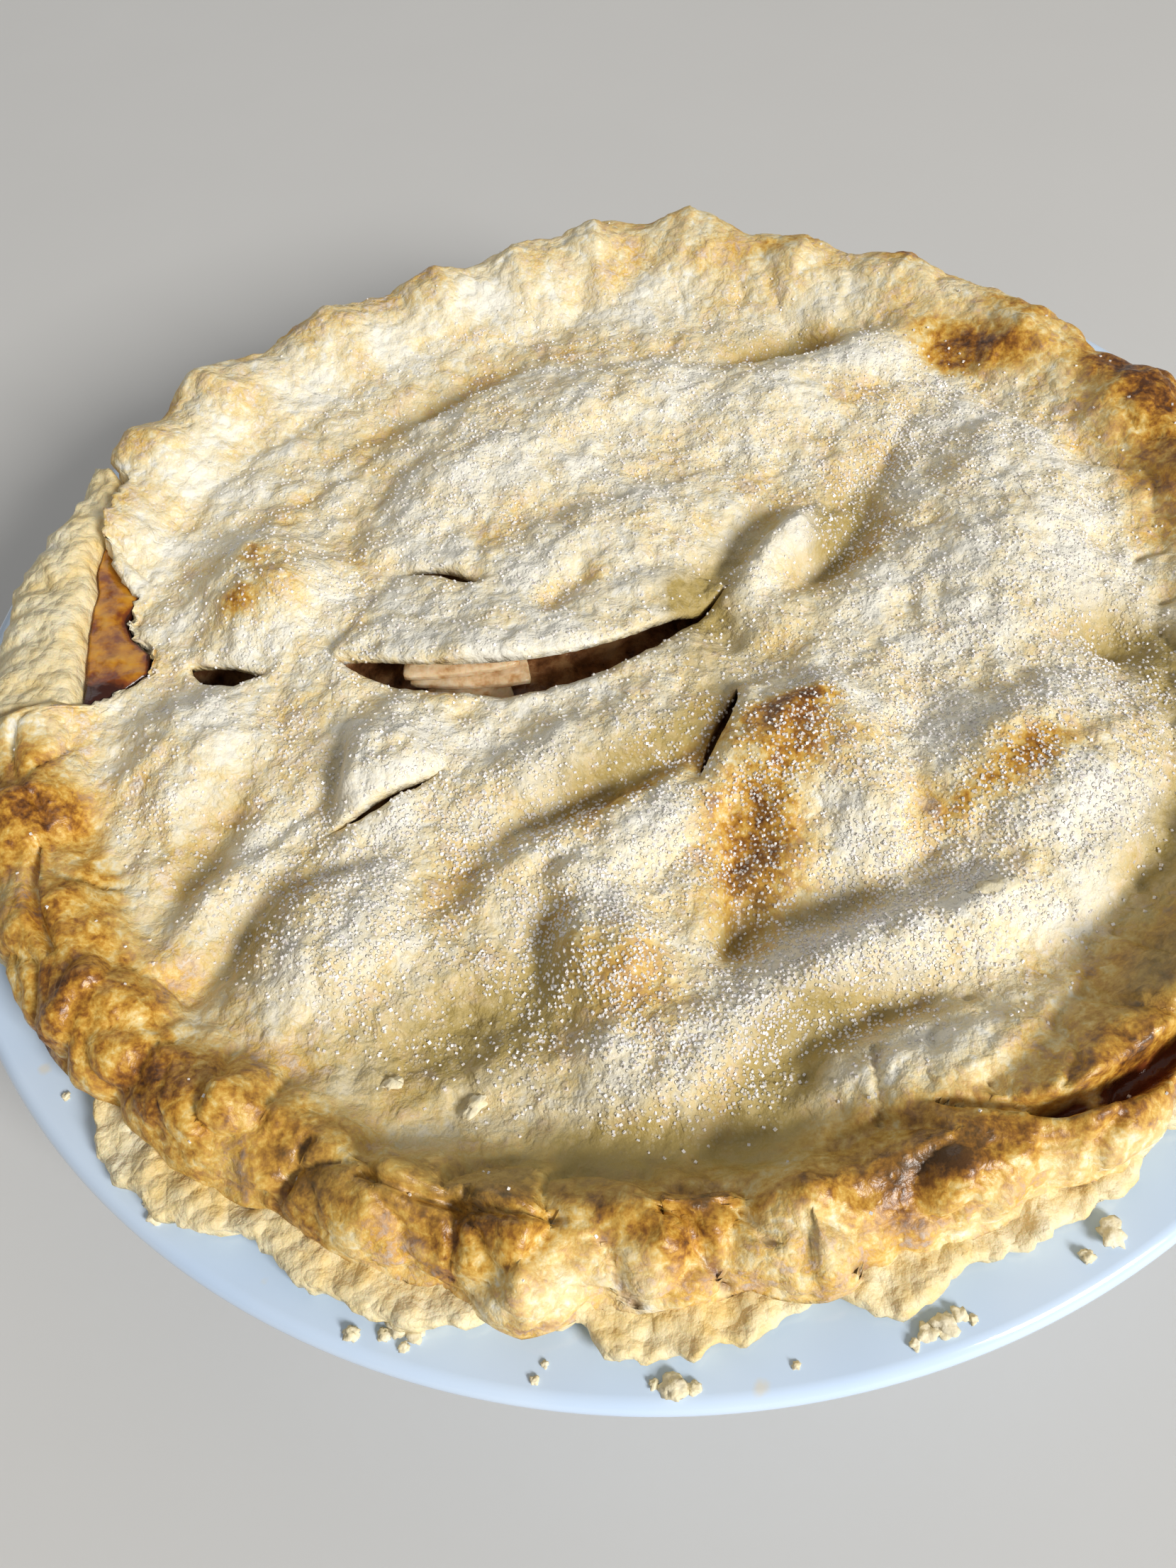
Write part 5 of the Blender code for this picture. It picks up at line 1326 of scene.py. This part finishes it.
# Syrup: juice that boiled over through the tear and set there between the lid and the bared rim, in a
# thick glossy amber pool that is burnt dark at its edges.
SYRUP_TOP = 0.0548
SYRUP_MIDDLE_DROP = 0.0010
SYRUP_EDGE_DROP = 0.0022
SYRUP_CLIMB = 0.8
SYRUP_LEAST_WIDTH = 0.0006
SYRUP_START_INSET = 6.0
SYRUP_END_INSET = 0.6
SYRUP_STEPS = 90
SYRUP_SHARES = (0.0, 0.06, 0.16, 0.30, 0.45, 0.60, 0.74, 0.86, 0.95, 1.0)
SYRUP_LUMP_SIZE = 0.004
SYRUP_LUMP_HEIGHT = 0.0005
SYRUP_LUMPY_ABOVE = 0.0510
SYRUP_TONES = [
    (0.10, (0.035, 0.006, 0.002)), (0.30, (0.20, 0.045, 0.004)), (0.48, (0.50, 0.20, 0.008)),
    (0.68, (0.64, 0.33, 0.03)), (0.90, (0.78, 0.52, 0.12)),
]
POOL_PATTERN = 0.0045
POOL_TONE = 0.9
BURNT_TONE = 0.55
POOL_UNEVENNESS = 0.4
POOL_ROUGHNESS = 0.08
BURNT_INNER_EDGE = (0.25, 0.05)
BURNT_END = (0.80, 0.97)
BURNT_START = (0.10, 0.0)
START_BURNT = 0.7
POOL_RELIEF = 0.0006

syrup_degrees = np.linspace(tear_rows[0] + SYRUP_START_INSET, tear_rows[-1] - SYRUP_END_INSET, SYRUP_STEPS)
syrup_low = np.interp(syrup_degrees, tear_rows, tear_radii) + GAP
syrup_high = np.interp(syrup_degrees, tear_rows, strip_radii) - GAP
syrup_sections = []
for direction, low, high in zip(syrup_degrees, syrup_low, syrup_high):
    high = max(high, low + SYRUP_LEAST_WIDTH)
    spots = [(low, FLANGE_TOP + GAP)]
    for share in SYRUP_SHARES:
        swell = (SYRUP_EDGE_DROP - SYRUP_MIDDLE_DROP) * math.sin(math.pi * share)
        climb = SYRUP_EDGE_DROP * share**3 * SYRUP_CLIMB
        spots.append((low + share * (high - low), SYRUP_TOP - SYRUP_EDGE_DROP + swell + climb))
    spots.append((high, FLANGE_TOP + GAP))
    syrup_sections.append([(*polar(direction, radius), height) for radius, height in spots])
syrup_columns = len(syrup_sections[0])
syrup_points = np.array(syrup_sections).reshape(-1, 3)
syrup_lumps = SYRUP_LUMP_HEIGHT * lumps(syrup_points, SYRUP_LUMP_SIZE, 2)
syrup_points[:, 2] += syrup_lumps * (syrup_points[:, 2] > SYRUP_LUMPY_ABOVE)
syrup_faces = bands(SYRUP_STEPS, syrup_columns)
syrup_faces.append(tuple(range(syrup_columns)))
syrup_faces.append(tuple(range((SYRUP_STEPS - 1) * syrup_columns, SYRUP_STEPS * syrup_columns)))
dark_syrup = Finish("dark_syrup", Roughness=0.12, Coat_Weight=0.25, Coat_Roughness=0.05, IOR=1.45)
pooled = dark_syrup.speckle(POOL_PATTERN, detail=3.0, roughness=0.6)
syrup_shade = pooled * POOL_TONE - dark_syrup.painted("burnt") * BURNT_TONE
dark_syrup.feed("Base Color", dark_syrup.ramp(syrup_shade, SYRUP_TONES))
dark_syrup.feed("Roughness", pooled * POOL_UNEVENNESS + POOL_ROUGHNESS)
dark_syrup.raise_by(pooled, POOL_RELIEF)
syrup = object_of("syrup_set", syrup_points, syrup_faces, dark_syrup)
along = np.repeat(np.linspace(0, 1, SYRUP_STEPS), syrup_columns)
across = np.tile(np.linspace(0, 1, syrup_columns), SYRUP_STEPS)
burnt = np.maximum(smoothstep(*BURNT_INNER_EDGE, across), smoothstep(*BURNT_END, along))
paint(syrup, "burnt", np.maximum(burnt, START_BURNT * smoothstep(*BURNT_START, along)))
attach(syrup, "root")
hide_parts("syrup")

# Sugar: coarse white grains strewn over the lid by hand before it was baked, thickest on the near half,
# where they stuck and did not melt. They are small cubes of uneven size, turned any way.
GRAIN_SIZE = 0.00048
GRAIN_LEAST_STRETCH = 0.55
GRAIN_MOST_STRETCH = 1.15
GRAINS_PER_SQUARE_METRE = 1_000_000.0
GRAIN_SEED = 7
SUGAR_TONES = [(0.3, (0.80, 0.72, 0.66)), (0.6, (0.94, 0.92, 0.90))]
SUGAR_TONE_PATTERN = 0.0012


def scatter_tree(name, grain_finish):
    """Geometry Nodes that strew small turned cubes over the faces they are given."""
    tree = bpy.data.node_groups.new(name, "GeometryNodeTree")
    for socket, direction, kind in (
        ("Geometry", "INPUT", "Geometry"), ("Grain size", "INPUT", "Float"),
        ("Most grains", "INPUT", "Float"), ("Seed", "INPUT", "Int"), ("Geometry", "OUTPUT", "Geometry"),
    ):
        tree.interface.new_socket(socket, in_out=direction, socket_type=f"NodeSocket{kind}")
    given = tree.nodes.new("NodeGroupInput")
    made = tree.nodes.new("NodeGroupOutput")
    strewn = tree.nodes.new("GeometryNodeInputNamedAttribute")
    strewn.data_type = "FLOAT"
    strewn.inputs["Name"].default_value = "sugar"
    density = tree.nodes.new("ShaderNodeMath")
    density.operation = "MULTIPLY"
    points = tree.nodes.new("GeometryNodeDistributePointsOnFaces")
    cube = tree.nodes.new("GeometryNodeMeshCube")
    turn = tree.nodes.new("FunctionNodeRandomValue")
    turn.data_type = "FLOAT_VECTOR"
    turn.inputs["Max"].default_value = [math.tau] * 3
    stretch = tree.nodes.new("FunctionNodeRandomValue")
    stretch.data_type = "FLOAT_VECTOR"
    stretch.inputs["Min"].default_value = [GRAIN_LEAST_STRETCH] * 3
    stretch.inputs["Max"].default_value = [GRAIN_MOST_STRETCH] * 3
    place = tree.nodes.new("GeometryNodeInstanceOnPoints")
    real = tree.nodes.new("GeometryNodeRealizeInstances")
    dress = tree.nodes.new("GeometryNodeSetMaterial")
    dress.inputs["Material"].default_value = grain_finish.material
    for start, start_socket, end, end_socket in (
        (given, "Geometry", points, "Mesh"), (given, "Seed", points, "Seed"),
        (strewn, "Attribute", density, 0), (given, "Most grains", density, 1),
        (density, 0, points, "Density"), (given, "Grain size", cube, "Size"),
        (points, "Points", place, "Points"), (cube, "Mesh", place, "Instance"),
        (turn, "Value", place, "Rotation"), (stretch, "Value", place, "Scale"),
        (place, "Instances", real, "Geometry"), (real, "Geometry", dress, "Geometry"),
        (dress, "Geometry", made, "Geometry"),
    ):
        tree.links.new(start.outputs[start_socket], end.inputs[end_socket])
    return tree


def set_input(modifier, name, value):
    """Sets a Geometry Nodes input by its socket's identifier."""
    for item in modifier.node_group.interface.items_tree:
        if item.item_type == "SOCKET" and item.in_out == "INPUT" and item.name == name:
            modifier[item.identifier] = value


sugar_finish = Finish("sugar", Roughness=0.22, IOR=1.55, Coat_Weight=0.3)
sugar_finish.feed("Base Color", sugar_finish.ramp(sugar_finish.speckle(SUGAR_TONE_PATTERN), SUGAR_TONES))
sugar = placed("sugar_grains", lid.data.copy())
strew = sugar.modifiers.new("Strew", "NODES")
strew.node_group = scatter_tree("strewn_sugar", sugar_finish)
set_input(strew, "Grain size", GRAIN_SIZE)
set_input(strew, "Most grains", GRAINS_PER_SQUARE_METRE)
set_input(strew, "Seed", GRAIN_SEED)
grains = bpy.data.meshes.new_from_object(sugar.evaluated_get(bpy.context.evaluated_depsgraph_get()))
sugar.modifiers.clear()
sugar.data = grains
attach(sugar, "root")

# Crumbs: bits of baked dough that broke off the ragged edge and lie on the dish's rim, and three flakes
# that stuck to the lid. A crumb has its place and size, a flake its place, half sizes and turn in degrees.
CRUMBS = np.array((
    (62.2, -119.2, 3.6), (57.9, -122, 2), (36.2, -130.2, 3.4), (38.5, -129, 2), (33.5, -131, 2.4),
    (31.7, -132.5, 1.6), (40.2, -129.6, 1.3), (-2.1, -136.6, 3.4), (0.8, -136.8, 1.8), (-4.7, -136.2, 1.3),
    (-41, -127.1, 3.4), (-38.7, -128.4, 2.4), (-43.2, -128.4, 1.8), (-40.2, -130, 1.4), (-48, -128, 2.2),
    (-80.1, -110, 2.6), (-81.8, -108, 1.4), (-21.5, -135, 1.2), (80, -108, 1.6), (-20, -133, 1),
    (101, 88, 1.5), (-124, 58, 1.4), (129, -45, 1.6), (-110, 83, 1.2), (35, 133, 1.3), (-133, -29, 1.3),
    (15, -134.5, 1.1), (-99, -90, 1.2),
)) / MILLIMETRES
LID_FLAKES = ((0.0540, -0.0690, 0.0032, 0.0018, 15), (-0.0300, -0.0970, 0.0022, 0.0012, 40),
              (-0.0430, -0.0930, 0.0016, 0.0010, 10))
CRUMB_FREQUENCY = 1.3
CRUMB_ROUGHNESS = 0.70
CRUMB_FLATNESS = 0.45
CRUMB_STANDS_OUT = 0.75
CRUMB_APART = 7.1
FLAKE_FREQUENCY = 1.2
FLAKE_ROUGHNESS = 0.9
FLAKE_LIFT = 0.0004
FLAKE_HALF_THICKNESS = 0.0007
FLAKE_APART = 5.3
FLAKE_SHIFT = 3
CRUMB_STEPS = 3
RIM_SLOPE_START = 0.1166
RIM_SLOPE_WIDTH = 0.0209
RIM_SLOPE_RISE = 0.0025
CRUMB_PATTERN = 0.0015
CRUMB_BROWNING = 0.26
CRUMB_RELIEF = 0.0004


def ball(bm):
    """The points of a new ball of radius 1."""
    return bmesh.ops.create_icosphere(bm, subdivisions=CRUMB_STEPS, radius=1.0)["verts"]


def swelling(spot, shift, roughness):
    """How far out a lumpy ball's surface is, 1 being where the plain ball's is."""
    return 1 + roughness * noise.fractal(spot + Vector(shift), OCTAVE_SOFTER, OCTAVE_FINER, 3)


crumb_bm = bmesh.new()
for index, (x, y, size) in enumerate(CRUMBS):
    level = DISH_SHOULDER_TOP + (math.hypot(x, y) - RIM_SLOPE_START) / RIM_SLOPE_WIDTH * RIM_SLOPE_RISE
    made = ball(crumb_bm)
    for vertex in made:
        shape = swelling(vertex.co * CRUMB_FREQUENCY, (index * CRUMB_APART, 0, 0), CRUMB_ROUGHNESS)
        vertex.co = vertex.co * shape * size / 2
        vertex.co.z *= CRUMB_FLATNESS
    lowest = min(vertex.co.z for vertex in made)
    for vertex in made:
        vertex.co += Vector((x, y, level - lowest * CRUMB_STANDS_OUT))
for index, (x, y, along, across, turn) in enumerate(LID_FLAKES):
    level = float(lid_top(np.array([x]), np.array([y]))[0]) + FLAKE_LIFT
    c, s = math.cos(math.radians(turn)), math.sin(math.radians(turn))
    for vertex in ball(crumb_bm):
        shape = swelling(vertex.co * FLAKE_FREQUENCY, (index * FLAKE_APART, FLAKE_SHIFT, 0), FLAKE_ROUGHNESS)
        u, v = vertex.co.x * along * shape, vertex.co.y * across * shape
        height = level + vertex.co.z * FLAKE_HALF_THICKNESS
        vertex.co = (x + u * c - v * s, y + u * s + v * c, height)
crumb_mesh = bpy.data.meshes.new("crumbs")
crumb_bm.to_mesh(crumb_mesh)
crumb_bm.free()
crumb_finish = Finish("crumb_pastry", Roughness=0.6)
crumb_speckle = crumb_finish.speckle(CRUMB_PATTERN)
crumb_finish.feed("Base Color", crumb_finish.ramp(crumb_speckle * CRUMB_BROWNING, DOUGH_TONES))
crumb_finish.raise_by(crumb_speckle, CRUMB_RELIEF)
crumbs = smooth_piece("crumbs", crumb_mesh, crumb_finish)
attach(crumbs, "root")
